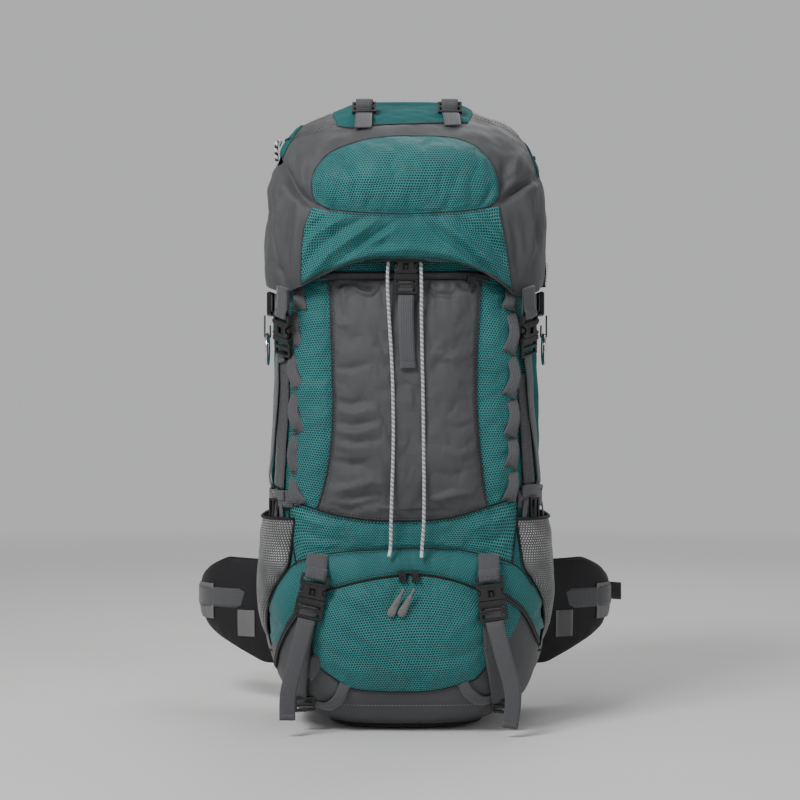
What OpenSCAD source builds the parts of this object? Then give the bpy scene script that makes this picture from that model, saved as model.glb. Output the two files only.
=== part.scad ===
// Tall framed hiking backpack, standing on its base: fabric shell, floating lid, harness, hip belt, webbing and buckles.
// The wearer's side faces +Y, the front panel faces -Y and +Z is up. The origin is the middle of the base on the floor.

/* [Pack body] */
// Full width of the stuffed main tube
body_w = 324; // [300:2:340]
// Front of the main tube, measured forward from the origin
front_y = 118; // [112:1:122]
// Back panel plane, measured rearward from the origin
back_y = 100; // [98:1:102]
// Thickness of the stuffed fabric wall
wall = 4; // [3:0.5:5]

/* [Heights] */
// Height of the seam between the sleeping bag compartment and the main tube
divide_z = 198; // [190:1:206]
// Height of the main tube's rim, where the collar starts
rim_z = 575; // [570:1:580]
// Top of the closed lid
lid_top_z = 750; // [740:1:760]

/* [Webbing and buckles] */
// Width of the load webbing at the bottom and on the lid's side straps
web_wide = 25; // [20:1:25]
// Width of the light webbing
web_narrow = 20; // [15:1:20]
// Thickness of all webbing
web_t = 1.4; // [1:0.1:1.6]
// Diameter of the drawcord
cord_d = 4; // [3:0.5:4.5]

/* [Lid] */
// Distance of the lid's fold line behind the origin
hinge_y = 112; // [110:1:114]
// Height of the lid's fold line
hinge_z = 545; // [542:1:548]

/* [Hidden] */
$fn = 32;

half_w = body_w / 2;
section_n = 40;      // sides of a body section
front_power = 3;     // squareness of the front half of a section
back_power = 6;      // squareness of the flat back half
wide_buckle = web_wide + 8;
narrow_buckle = web_narrow + 8;
buckle_t = 8;        // thickness of every side release buckle
mouth_gap = 0.4;     // gap between the two halves of a closed buckle
prong_play = 0.9;    // play round the prongs
prong_l = 12;
bar_z = 25;          // height of a female half's webbing bar above its mouth
lid_floor = lid_top_z - 110;

// ---------- body outline: half width, front and back at each height ----------
width_keys = [[0, -80], [8, -68], [14, -50], [22, -34], [39, -17], [60, -8], [80, -3], [120, 2],
    [160, 3], [196, 1], [215, 0], [330, -1], [400, -2], [480, -4], [540, -7], [575, -12]];
front_keys = [[0, -46], [8, -34], [22, -15], [45, 0], [80, 9], [120, 13], [160, 13], [190, 6],
    [215, -3], [260, -1], [330, 3], [400, 4], [480, 1], [540, -6], [575, -14]];
back_keys = [[0, -22], [8, -10], [22, -3], [45, 0], [575, 0]];
lid_width_keys = [[500, 168], [600, 169], [640, 166], [677, 155], [695, 147], [720, 130], [732, 112],
    [742, 93], [750, 76]];
lid_front_keys = [[500, -138], [555, -140], [600, -139], [625, -136], [640, -134], [660, -129],
    [677, -120], [695, -102], [710, -76], [722, -48], [735, -12], [745, 18], [750, 38]];
lid_back_keys = [[500, 113], [700, 113], [725, 108], [740, 100], [750, 88]];

// A section is [half width, front y, back y]
function body_section(z) = [half_w + lookup(z, width_keys), -front_y - lookup(z, front_keys),
    back_y + lookup(z, back_keys)];
function lid_section(z) = [lookup(z, lid_width_keys), lookup(z, lid_front_keys), lookup(z, lid_back_keys)];
function collar_section(z) = let (k = (z - rim_z) / 60) [146 - 70 * k, -100 + 54 * k, 94 - 48 * k];

function root(v, p) = v <= 0 ? 0 : pow(v, 2 / p);
// Point of a section at angle t: 0 at the front middle, 90 at +X, 180 at the wearer's side
function on_section(s, z, t, off) =
    let (mid = (s[1] + s[2]) / 2, deep = (s[2] - s[1]) / 2 + off,
        p = cos(t) >= 0 ? front_power : back_power)
    [(s[0] + off) * sign(sin(t)) * root(abs(sin(t)), p), mid - deep * sign(cos(t)) * root(abs(cos(t)), p), z];
function on_body(t, z, off) = on_section(body_section(z), z, t, off);
function on_lid(t, z, off) = on_section(lid_section(z), z, t, off);
// Angle of the front half's point at a given x
function angle_at(x, a) = sign(x) * asin(min(1, pow(abs(x) / a, front_power / 2)));
function body_front(x, z, off) = on_body(angle_at(x, body_section(z)[0] + off), z, off);
function front_at(x, z, off) = body_front(x, z, off)[1];

// ---------- solids from rings and grids ----------
function flat(rows) = [for (r = rows) each r];
function reversed(l) = [for (i = [len(l) - 1:-1:0]) l[i]];
function steps(a, b, n) = [for (i = [0:n]) a + (b - a) * i / n];
function unit(v) = v / norm(v);

// Two triangles for the patch between points i and i + 1 of ring j and of ring k, n points a ring
function patch(j, k, i, n) = let (e = (i + 1) % n)
    [[j * n + i, k * n + i, k * n + e], [j * n + i, k * n + e, j * n + e]];

// A solid through rings of equal size, capped by the first and the last
module loft(rings) {
    n = len(rings[0]);
    m = len(rings);
    polyhedron(flat(rings), concat(
        [[for (i = [0:n - 1]) i]],
        [for (j = [0:m - 2], i = [0:n - 1]) each patch(j, j + 1, i, n)],
        [[for (i = [n - 1:-1:0]) (m - 1) * n + i]]));
}

// A tube between outer and inner rings, open at both ends
module tube(outer, inner) {
    rings = concat(outer, reversed(inner));
    n = len(rings[0]);
    m = len(rings);
    polyhedron(flat(rings), [for (j = [0:m - 1], i = [0:n - 1]) each patch(j, (j + 1) % m, i, n)]);
}

// A closed sheet between two grids of the same size; rows run upward, points run from -X to +X
module slab(outer, inner) {
    c = len(outer[0]);
    n = 2 * c;
    m = len(outer);
    o = (m - 1) * n;
    rings = [for (j = [0:m - 1]) concat(outer[j], reversed(inner[j]))];
    polyhedron(flat(rings), concat(
        [for (i = [0:c - 2]) each [[i, i + 1, n - 2 - i], [i, n - 2 - i, n - 1 - i]]],
        [for (j = [0:m - 2], i = [0:n - 1]) each patch(j, j + 1, i, n)],
        [for (i = [0:c - 2]) each [[o + i, o + n - 1 - i, o + n - 2 - i], [o + i, o + n - 2 - i, o + i + 1]]]));
}

function section_ring(s, z, off) = [for (i = [0:section_n - 1]) on_section(s, z, i * 360 / section_n, off)];
function body_ring(z, off) = section_ring(body_section(z), z, off);
function lid_ring(z, off) = section_ring(lid_section(z), z, off);
function collar_ring(z, off) = section_ring(collar_section(z), z, off);

// A smooth curve through route points, n steps between neighbours
function curve_point(p, i, k) =
    let (a = p[max(i - 1, 0)], b = p[i], c = p[i + 1], d = p[min(i + 2, len(p) - 1)])
    b + 0.5 * k * (c - a) + k * k * (a - 2.5 * b + 2 * c - 0.5 * d) + 0.5 * k * k * k * (3 * b - a - 3 * c + d);
function curve(p, n) = concat([for (i = [0:len(p) - 2], j = [0:n - 1]) curve_point(p, i, j / n)], [p[len(p) - 1]]);

// A round cord swept along points, with its ends cut square
function along(path, i) = unit(path[min(i + 1, len(path) - 1)] - path[max(i - 1, 0)]);
function cord_ring(path, i, r, sides) =
    let (d = along(path, i), u = unit(cross([0.3, 1, 0.1], d)), v = cross(d, u))
    [for (k = [0:sides - 1]) path[i] + r * (cos(k * 360 / sides) * u + sin(k * 360 / sides) * v)];
module cord(path, r, sides = 8) loft([for (i = [0:len(path) - 1]) reversed(cord_ring(path, i, r, sides))]);

// A flat band of thickness t: points are [y, z] and the band lies across X
function band_outline(p, t) = concat(
    [for (i = [0:len(p) - 1]) p[i] + t / 2 * [-along(p, i)[1], along(p, i)[0]]],
    [for (i = [len(p) - 1:-1:0]) p[i] - t / 2 * [-along(p, i)[1], along(p, i)[0]]]);
module ribbon(points, width, t = web_t)
    rotate([90, 0, 90])
        translate([0, 0, -width / 2])
            linear_extrude(width) polygon(band_outline(points, t));

// A strip sewn flat on the front: the route is [x, z], rise lifts its outer face
function beside(route, i, d) = route[i] + d * [-along(route, i)[1], along(route, i)[0]];
function strip_row(route, d, offs) = [for (i = [0:len(route) - 1])
    let (p = beside(route, i, d)) body_front(p[0], p[1], offs[i])];
module front_strip(route, w, low, high) {
    n = len(route);
    under = [for (i = [0:n - 1]) is_list(low) ? low[i] : low];
    over = [for (i = [0:n - 1]) is_list(high) ? high[i] : high];
    slab([strip_row(route, -w / 2, over), strip_row(route, w / 2, over)],
        [strip_row(route, -w / 2, under), strip_row(route, w / 2, under)]);
}

// A strip along the side: the route is [angle, z], half is its half width in degrees
module side_strip(route, half, low, high) slab(
    [for (p = route) [for (s = [-1, 0, 1]) on_body(p[0] + s * half, p[1], high)]],
    [for (p = route) [for (s = [-1, 0, 1]) on_body(p[0] + s * half, p[1], low)]]);
// A level band round the side from angle a to angle b
module level_band(a, b, z, w, low, high) slab(
    [for (s = [-1, 1]) [for (t = steps(a, b, 10)) on_body(t, z + s * w / 2, high)]],
    [for (s = [-1, 1]) [for (t = steps(a, b, 10)) on_body(t, z + s * w / 2, low)]]);

module both_sides() {
    children();
    mirror([1, 0, 0]) children();
}
module on_left() mirror([1, 0, 0]) children();
module plate(w, t, h, r) translate([0, t / 2, 0]) rotate([90, 0, 0]) linear_extrude(t) {
    square([w - 2 * r, h], center = true);
    square([w, h - 2 * r], center = true);
    for (x = [-1, 1], y = [-1, 1]) translate([x * (w / 2 - r), y * (h / 2 - r)]) circle(r);
}

// ---------- buckles in their own frame: webbing runs along Z, the mouth is at z = 0, the face is -Y ----------
module female_half(w) {
    difference() {
        translate([-w / 2, -buckle_t / 2, 0]) cube([w, buckle_t, 19]);
        translate([-w / 2 + 3, -buckle_t / 2 + 1.3, -1]) cube([w - 6, buckle_t - 2.6, 17]);
        for (s = [-1, 1]) translate([s * w / 2 - 4, -1.8, 5]) cube([8, 3.6, 9]);
        translate([-2, -buckle_t / 2 - 1, 5]) cube([4, 3, 8]);
        for (z = [5, 13]) translate([0, -buckle_t / 2 - 1, z]) rotate([-90, 0, 0]) cylinder(r = 2, h = 3);
    }
    for (s = [-1, 1]) translate([s * (w / 2 - 1.5) - 1.5, -2.5, 18.9]) cube([3, 5, bar_z - 16.5]);
    translate([-w / 2 + 1, 0, bar_z]) rotate([0, 90, 0]) cylinder(r = 2, h = w - 2);
}

module male_half(w) {
    cheek = w / 2 - 3 - prong_play;
    translate([-w / 2, -buckle_t / 2, -6 - mouth_gap]) cube([w, buckle_t, 6]);
    for (s = [-1, 1]) translate([s * (cheek - 2) - 2, -1.8, -1]) cube([4, 3.6, prong_l + 1]);
    translate([-2.5, -1.8, -1]) cube([5, 3.6, prong_l - 1]);
    difference() {
        translate([-w / 2, -2, -24]) cube([w, 4, 18.5]);
        for (z = [-13, -21.4]) translate([-w / 2 + 3.5, -3, z]) cube([w - 7, 6, 4.6]);
    }
}

// Webbing sewn into a loop round the female half's bar, running up for length l
module bar_loop(w, l) ribbon(concat([[3.4, bar_z + l]],
    [for (a = [0:-20:-180]) [3.4 * cos(a), bar_z + 3.4 * sin(a)]], [[-3.4, bar_z + min(l, 12)]]), w);

// Webbing that comes out of the ladder and hangs down in front for length l
module ladder_tail(w, l) ribbon([[1.2, -10.9], [-2, -10.7], [-3.6, -11.6], [-3.9, -15], [-3.9, -10 - l]], w);

module triglide(w) difference() {
    translate([-w / 2 - 3, -1.5, -7]) cube([w + 6, 3, 14]);
    for (z = [-4.6, 1.2]) translate([-w / 2 - 0.5, -3, z]) cube([w + 1, 6, 3.4]);
}

// ---------- places of the buckles ----------
lid_side_at = [143.9, -97.7, 463];
lid_side_tilt = atan((hinge_z - lid_side_at[2] - 6) / (hinge_y - lid_side_at[1]));
lid_front_at = [0, -131.8, 534];
lid_front_tilt = atan((hinge_z - lid_front_at[2] - 6) / (hinge_y - lid_front_at[1]));
bottom_left_at = [-109, -134, 160];
bottom_left_roll = 12;
bottom_right_at = [99, -135, 158];
bottom_right_roll = -7;
press_z = 505;       // height of the upper compression straps
press_at = [164.5, 2, press_z];
sternum_at = [0, 209.5, 400];

module at_lid_side() translate(lid_side_at) rotate([lid_side_tilt, 0, 0]) rotate([0, 0, 48]) children();
module at_lid_front() translate(lid_front_at) rotate([lid_front_tilt, 0, 0]) children();
module at_bottom_left() translate(bottom_left_at) rotate([0, bottom_left_roll, 0]) children();
module at_bottom_right() translate(bottom_right_at) rotate([0, bottom_right_roll, 0]) children();
module at_press() translate(press_at) rotate([0, 0, 90]) rotate([0, 90, 0]) children();
module at_sternum() translate(sternum_at) rotate([0, 0, 180]) rotate([0, 90, 0]) children();

// ---------- shell ----------
main_levels = [divide_z + 0.5, 212, 240, 280, 330, 400, 460, 510, 545, rim_z];
module main_bag() color("darkslategray")
    loft(concat([for (z = main_levels) body_ring(z, 0)],
        [for (z = reversed(main_levels)) body_ring(max(z, divide_z + 0.5 + wall), -wall)]));

low_levels = [8, 14, 22, 39, 60, 80, 120, 160, 180, divide_z - 0.5];
module bottom_compartment() color("teal")
    tube([for (z = low_levels) body_ring(z, 0)], [for (z = low_levels) body_ring(z, -wall)]);

module base_panel() color("dimgray") loft([for (z = [0, 4, 8]) body_ring(z, 0)]);

module collar() color("gray") {
    levels = [rim_z + 1, 590, 605, 620, 634];
    tube([for (z = levels) collar_ring(z, 0)], [for (z = levels) collar_ring(z, -2)]);
}

// ---------- drawcord and its lock ----------
lock_at = [4.5, -72, 622];
lock_tilt = -42;
function hem_cord() = concat([[-2.5, -68.5, 626]],
    [for (t = [-6:-12:-354]) on_section(collar_section(629), 629, t, 3)], [[2.5, -68.5, 626]]);
module collar_drawcord() color("lightgray") cord(hem_cord(), cord_d / 2);

left_route = [[-2.5, -78, 615.5], [-4, -90, 602], [-9, -106, 584], [-15, -120, 565], [-20, -129, 548],
    [-21, -134, 520], [-19, -136, 480], [-16, -138, 430], [-14.5, -138, 380], [-14.5, -137, 330],
    [-16, -135, 280], [-17, -133, 245], [-17.5, -132, 220], [-19.5, -132, 208]];
right_route = [[2.5, -78, 615.5], [4, -90, 602], [8, -106, 584], [14, -120, 565], [17, -129, 548],
    [18, -134, 520], [18, -136, 480], [19, -138, 430], [20, -138, 380], [20.5, -137, 330],
    [21, -135, 280], [20.5, -133, 245], [19, -132, 222], [18, -132, 207]];
module drawcord_tail_left() color("lightgray") cord(curve(left_route, 4), cord_d / 2);
module drawcord_tail_right() color("lightgray") cord(curve(right_route, 4), cord_d / 2);

module at_lock() translate(lock_at) rotate([lock_tilt, 0, 0]) children();
module cord_lock_barrel() color("dimgray") at_lock() difference() {
    translate([-13, 0, 0]) rotate([0, 90, 0]) cylinder(r = 8, h = 26);
    translate([2.5, 0, 0]) rotate([0, 90, 0]) cylinder(r = 6.2, h = 12);
    translate([-10.2, -2.7, -10]) cube([11.2, 5.4, 20]);
}
module cord_lock_button() color("black") at_lock()
    translate([8.5, 0, 0]) rotate([0, 90, 0]) cylinder(r = 5.6, h = 10.5);

// ---------- front ----------
pocket_half = 110;
function pocket_foot(x) = 256 + 15 * pow(x / pocket_half, 2);
function pocket_z(x, k) = pocket_foot(x) + (521 - pocket_foot(x)) * k;
function pocket_rise(u, k) = 3 + 7.5 * (1 - pow(u, 4)) * sqrt(max(0, 1 - pow(abs(2 * k - 1), k > 0.5 ? 2.4 : 4)));
pocket_cols = steps(-1, 1, 12);
module front_pocket() color("gray") slab(
    [for (k = steps(0, 1, 9)) [for (u = pocket_cols)
        body_front(u * pocket_half, pocket_z(u * pocket_half, k), pocket_rise(u, k))]],
    [for (k = steps(0, 1, 9)) [for (u = pocket_cols) body_front(u * pocket_half, pocket_z(u * pocket_half, k), 1)]]);

// The pocket zip lies on an arc about a far upright axis
zip_r = 660;
zip_z = 528;
zip_front = front_at(0, zip_z, 4);
zip_pivot_y = zip_front + zip_r;
function zip_row(z, r) = [for (a = steps(-7.6, 7.6, 12)) [r * sin(a), zip_pivot_y - r * cos(a), z]];
module front_zip() color("black") slab([for (z = [-4.5, 4.5]) zip_row(zip_z + z, zip_r + 2)],
    [for (z = [-4.5, 4.5]) zip_row(zip_z + z, zip_r)]);
module front_zip_slider() color("black") translate([0, zip_pivot_y, 0]) rotate([0, 0, 6.6])
    translate([0, -zip_r - 2.5, zip_z]) {
        translate([-4.5, -3, -3.5]) cube([9, 3, 7]);
        translate([0, -3.2, -16]) cylinder(r = 1.2, h = 16);
    }

module lower_front_panel() color("teal") slab(
    [for (k = steps(0, 1, 3)) [for (u = pocket_cols) let (x = 126 * u)
        body_front(x, (214 - 13 * u * u) * (1 - k) + (pocket_foot(x) - 2) * k, 3)]],
    [for (k = steps(0, 1, 3)) [for (u = pocket_cols) let (x = 126 * u)
        body_front(x, (214 - 13 * u * u) * (1 - k) + (pocket_foot(x) - 2) * k, 1)]]);

// The lower zip: an arc of radius arc_r about an axis along Y, then round the corners
arc_r = 395;
arc_z = -210;
function arc_at(x) = arc_z + sqrt(arc_r * arc_r - x * x);
low_zip_half = [for (x = [0, 20, 40, 60, 80, 96]) [x, arc_at(x)]];
low_zip_bend = [[110, 164], [121, 150], [128, 130], [133, 105], [137, 80]];
low_zip_right = concat(low_zip_half, low_zip_bend);
low_zip_route = concat([for (i = [len(low_zip_right) - 1:-1:1]) [-low_zip_right[i][0], low_zip_right[i][1]]],
    low_zip_right);
module bottom_zip() color("black") front_strip(low_zip_route, 8, 1, 3.4);

panel_top = [[0, 179], [60, 174], [96, 167], [106, 158], [114, 145], [120, 128]];
hood_foot = [[0, 191], [60, 186], [96, 179], [110, 172], [124, 158], [134, 130], [142, 80], [150, 50]];
module bottom_panel() color("teal") {
    cols = steps(-112, 112, 16);
    slab([for (k = steps(0, 1, 6)) [for (x = cols)
            body_front(x, (44 + 22 * pow(x / 112, 2)) * (1 - k) + lookup(abs(x), panel_top) * k, 3)]],
        [for (k = steps(0, 1, 6)) [for (x = cols)
            body_front(x, (44 + 22 * pow(x / 112, 2)) * (1 - k) + lookup(abs(x), panel_top) * k, 1)]]);
}
function top_at(x) = 212 - 13 * pow(x / 126, 2);
module bottom_hood() color("cadetblue") {
    cols = [-141, -134, -124, -110, -96, -60, -30, 0, 30, 60, 96, 110, 124, 134, 141];
    slab([for (k = steps(0, 1, 2)) [for (x = cols)
            body_front(x, lookup(abs(x), hood_foot) * (1 - k) + top_at(x) * k, 3.5 + 3 * k * (1 - k) * 4)]],
        [for (k = steps(0, 1, 2)) [for (x = cols)
            body_front(x, lookup(abs(x), hood_foot) * (1 - k) + top_at(x) * k, 1)]]);
}

// Sliders ride the arc; each carries a rubber pull that flips up
slider_y = front_at(0, arc_at(0), 4.7);
left_slide = 0.6;
right_slide = 1.6;
pull_lean = 29;
module at_arc(a) translate([0, 0, arc_z]) rotate([0, a, 0]) translate([0, slider_y, arc_r]) children();
module zip_slider() {
    translate([-4, -4, -6]) cube([8, 4, 12]);
    for (s = [-1, 1]) translate([s * 3 - 1, -9.7, -3.2]) cube([2, 6.2, 3.4]);
}
module zip_pull() rotate([0, pull_lean, 0]) {
    translate([-1.4, 0, 0]) rotate([0, 90, 0]) cylinder(r = 1.1, h = 2.8);
    translate([-1, -1, -8]) cube([2, 2, 8]);
    translate([0, 0, -21]) plate(6.5, 4, 28, 2.5);
}
pull_at = [0, -8, -2];
module bottom_slider_left() color("black") at_arc(-left_slide) zip_slider();
module bottom_slider_right() color("black") at_arc(right_slide) zip_slider();
module bottom_pull_left() color("gray") at_arc(-left_slide) translate(pull_at) rotate([0, left_slide, 0]) zip_pull();
module bottom_pull_right() color("gray") at_arc(right_slide) translate(pull_at) rotate([0, -right_slide, 0]) zip_pull();

// ---------- sides ----------
pocket_lead = [[16, 80], [60, 76], [125, 69], [190, 50], [247, 53]];
function bulge(u, k) = 2.5 + 12 * sqrt(max(0, 1 - pow(2 * u - 1, 4))) * sqrt(sin(90 * min(1, 1.3 * k + 0.05)));
module side_pocket() {
    rows = steps(0, 1, 9);
    cols = steps(0, 1, 12);
    slab([for (k = rows) let (z = 18 + 229 * k, a = lookup(z, pocket_lead)) [for (u = cols)
            on_body(a + (128 - a) * u, z, bulge(u, k))]],
        [for (k = rows) let (z = 18 + 229 * k, a = lookup(z, pocket_lead)) [for (u = cols)
            on_body(a + (128 - a) * u, z, max(1, bulge(u, k) - 2))]]);
}
module side_pocket_right() color("silver") side_pocket();
module side_pocket_left() color("silver") on_left() side_pocket();

tacks_left = [517, 495, 448, 401, 354, 305, 272];
tacks_right = [517, 494, 444, 394, 349, 313, 276];
function tack_rows(z) = flat([for (i = [0:len(z) - 2]) [for (k = [0:0.2:0.8]) z[i] + (z[i + 1] - z[i]) * k]]);
function tack_lift(z) = flat([for (i = [0:len(z) - 2]) [for (k = [0:0.2:0.8]) 2.5 + 5 * sin(180 * k)]]);
module daisy(x, z) {
    lift = tack_lift(z);
    front_strip([for (p = tack_rows(z)) [x, p]], 15, [for (l = lift) l - 1.4], lift);
}
module daisy_chains() color("slategray") {
    daisy(-123, tacks_left);
    daisy(122, tacks_right);
}

// ---------- lid straps on the bag ----------
module side_anchor() {
    // straight behind the ladder, then slanting back along the side to the lower strap
    at_lid_side() ribbon([[5.3, -8], [5.3, -46]], 20);
    side_strip([for (k = steps(1, 0, 8)) [62 + 17 * k, 402 - 118 * k]], 5.6, 1.2, 2.6);
}
module lid_anchor_straps() color("gray") {
    both_sides() side_anchor();
    ribbon([[-125.9, 526], [-126.2, 510], [-127, 498], [-130.2, 484], [-132.4, 466], [-132.9, 446]], web_narrow);
}
module lid_side_male_right() color("black") at_lid_side() male_half(narrow_buckle);
module lid_side_male_left() color("black") on_left() at_lid_side() male_half(narrow_buckle);
module lid_front_male() color("black") at_lid_front() male_half(narrow_buckle);
module lid_front_tail() color("gray") translate([0, -3.4, 0]) at_lid_front() ladder_tail(web_narrow, 92);

// ---------- side compression ----------
low_press_z = 272;
module compression_straps() color("gray") both_sides() {
    level_band(57, 76.5, press_z, web_narrow, 1, 2.4);
    at_press() ribbon([[5, -9], [5, -48]], web_narrow);
    at_press() bar_loop(web_narrow, 10);
    level_band(103, 122, press_z, web_narrow, 1, 2.4);
    level_band(49, 122, low_press_z, web_narrow, 1, 2.4);
    // loops that hold the gear rings
    translate([166, -31, 465.6]) rotate([0, 0, 90]) ribbon(concat([[3.9, 24.4]],
        [for (a = [0:-20:-180]) 3.9 * [cos(a), sin(a)]], [[-3.9, 12]]), 10);
}
module gear_ring() translate([166, -31, 449]) rotate([0, 90, 0])
    rotate_extrude() translate([18, 0]) circle(2);
module gear_ring_right() color("silver") gear_ring();
module gear_ring_left() color("silver") on_left() gear_ring();
module compression_male_right() color("black") at_press() male_half(narrow_buckle);
module compression_male_left() color("black") on_left() at_press() male_half(narrow_buckle);

// ---------- bottom straps ----------
module bottom_webbing() {
    bar_loop(web_wide, 24);
    ribbon([[5.3, -8], [5.3, -52], [9, -72], [20, -100], [34, -124], [60, -140]], web_wide * 0.8);
}
module bottom_strap_webbing() color("gray") {
    at_bottom_left() bottom_webbing();
    at_bottom_right() bottom_webbing();
}
module bottom_male_left() color("black") at_bottom_left() male_half(wide_buckle);
module bottom_male_right() color("black") at_bottom_right() male_half(wide_buckle);
module bottom_tail_left() color("slategray") at_bottom_left() ladder_tail(web_narrow, 132);
module bottom_tail_right() color("slategray") at_bottom_right() ladder_tail(web_narrow, 136);

module fixed_buckles() color("black") {
    at_bottom_left() female_half(wide_buckle);
    at_bottom_right() female_half(wide_buckle);
    both_sides() at_press() female_half(narrow_buckle);
    both_sides() translate([101, -117.5, low_press_z + 0]) rotate([0, 0, 28]) rotate([0, 90, 0]) triglide(web_narrow);
}

module tool_loops() color("gray") {
    front_strip(curve([[-62, 62], [-68, 50], [-78, 42], [-92, 38], [-106, 38]], 3), 12, 3.6, 5);
    front_strip(curve([[57, 65], [63, 51], [75, 42], [88, 39], [98, 40]], 3), 12, 3.6, 5);
    front_strip([[-100, 92], [-99, 74]], 12, 3.6, 5.2);
}

// ---------- frame and back ----------
module frame_sheet() color("dimgray") translate([0, 102.2, 300]) plate(236, 2, 480, 30);
module frame_stays() color("silver") for (x = [-55, 55]) translate([x - 6, 103.7, 62]) cube([12, 3, 474]);
module pad(w, h, t) loft([for (k = [0, 0.15, 0.5, 1]) let (grow = sqrt(sin(90 * min(1, 1 - k + 0.12))))
    [for (a = [0:15:345]) [w / 2 * (0.8 + 0.2 * grow) * sign(cos(a)) * root(abs(cos(a)), 5), t * k,
        h / 2 * (0.9 + 0.1 * grow) * sign(sin(a)) * root(abs(sin(a)), 5)]]]);
module back_pads() color("darkslategray") {
    both_sides() translate([58, 107.3, 328]) pad(84, 250, 14);
    translate([0, 107.3, 130]) pad(160, 130, 20);
}

// ---------- harness ----------
strap_route = [[44, 114, 462], [46, 134, 492], [50, 158, 500], [56, 178, 486], [62, 190, 455], [68, 196, 410],
    [74, 196, 360], [82, 190, 312], [90, 180, 270]];
strap_width = [[0, 56], [0.3, 66], [0.6, 62], [1, 46]];
function strap_ring(p, i) =
    let (n = len(p), d = along(p, i), side = unit([1, 0, 0] - d[0] * d), up = cross(side, d),
        w = lookup(i / (n - 1), strap_width) / 2, t = 6)
    [for (a = [0:30:330]) p[i] + side * w * sign(cos(a)) * root(abs(cos(a)), 3.2)
        + up * t * sign(sin(a)) * root(abs(sin(a)), 2.6)];
module shoulder_strap() {
    p = curve(strap_route, 3);
    loft([for (i = [0:len(p) - 1]) strap_ring(p, i)]);
}
module shoulder_straps() color("darkslategray") both_sides() shoulder_strap();

module harness_webbing() color("gray") both_sides() {
    translate([92, 0, 0]) ribbon([[186, 262], [184, 240], [160, 190], [130, 130], [114, 96], [106, 70]], web_narrow);
    translate([60, 0, 0]) ribbon([[164, 510], [140, 522], [108, 534]], web_narrow);
}
module sternum_strap() color("gray") {
    at_sternum() bar_loop(web_narrow, 36);
    at_sternum() ribbon([[5.3, -8], [5.3, -66]], web_narrow);
}
module sternum_female() color("black") at_sternum() female_half(narrow_buckle);
module sternum_male() color("black") at_sternum() male_half(narrow_buckle);

module haul_handle() color("slategray")
    translate([0, 106, 537]) rotate([-25, 0, 0]) rotate([-90, 0, 0]) {
        for (s = [-1, 1]) translate([s * 25 - 10, -0.7, 0]) cube([20, 1.4, 22]);
        difference() {
            translate([-35, -1.6, 21.9]) cube([70, 3.2, 22]);
            translate([-15, -4, 18]) cube([30, 8, 8]);
        }
    }

// ---------- hip belt ----------
wing_pivot = [124, 122];
wing_route = [[134, 122], [160, 128], [190, 137], [220, 150], [245, 168], [258, 190], [262, 216], [258, 240]];
wing_low = [[0, 50], [0.25, 52], [0.5, 76], [0.75, 98], [1, 116]];
wing_high = [[0, 168], [0.25, 182], [0.5, 184], [0.75, 166], [1, 148]];
function wing_ring(p, i) =
    let (k = i / (len(p) - 1), d = along(p, i), out = [d[1], -d[0]],
        zc = (lookup(k, wing_high) + lookup(k, wing_low)) / 2, zh = (lookup(k, wing_high) - lookup(k, wing_low)) / 2)
    [for (a = [0:22.5:337.5]) let (s = 8 * sign(cos(a)) * root(abs(cos(a)), 3))
        [p[i][0] + out[0] * s, p[i][1] + out[1] * s, zc + zh * sign(sin(a)) * root(abs(sin(a)), 3)]];
module hip_wing() {
    p = curve(wing_route, 2);
    loft([for (i = [0:len(p) - 1]) reversed(wing_ring(p, i))]);
}
module hip_wing_right() color("black") hip_wing();
module hip_wing_left() color("black") on_left() hip_wing();

// Belt webbing over the wing's outer face, past its tip to the buckle half
belt_route = [[205, 134], [222, 141], [240, 152], [257, 166], [268, 186], [272.5, 214], [268, 244], [252, 272], [232, 292]];
function belt_side(p, s) = [for (i = [0:len(p) - 1]) p[i] + s * [-along(p, i)[1], along(p, i)[0]]];
module hip_belt() translate([0, 0, 120]) linear_extrude(25, center = false)
    polygon(concat(belt_side(curve(belt_route, 3), 0.7), reversed(belt_side(curve(belt_route, 3), -0.7))));
module hip_belt_right() color("gray") hip_belt();
module hip_belt_left() color("gray") on_left() hip_belt();
module at_belt_end() translate([221, 303, 132.5]) rotate([0, 0, -42]) rotate([0, -90, 0]) children();
module hip_male() color("black") at_belt_end() male_half(wide_buckle);
module hip_female() color("black") on_left() at_belt_end() translate([0, 0, -20]) rotate([180, 0, 0])
    translate([0, 0, -18]) female_half(wide_buckle);

// ---------- lid ----------
lid_levels = [lid_floor, 660, 677, 695, 710, 722, 732, 742, lid_top_z];
module lid_pocket() color("teal") loft([for (z = lid_levels) lid_ring(z, 0)]);

skirt_foot = [[0, 547], [25, 546], [45, 538], [60, 527], [75, 524], [100, 526], [125, 545], [140, 568], [180, 574]];
function skirt_z(t, k) = let (f = lookup(abs(t > 180 ? t - 360 : t), skirt_foot)) f + (lid_floor - 0.5 - f) * k;
function skirt_ring(k, off) = [for (i = [0:section_n - 1]) let (t = i * 360 / section_n, z = skirt_z(t, k))
    on_lid(t, z, off)];
module lid_skirt() color("slategray")
    tube([for (k = steps(0, 1, 4)) skirt_ring(k, 0)], [for (k = steps(0, 1, 4)) skirt_ring(k, -2)]);

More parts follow.
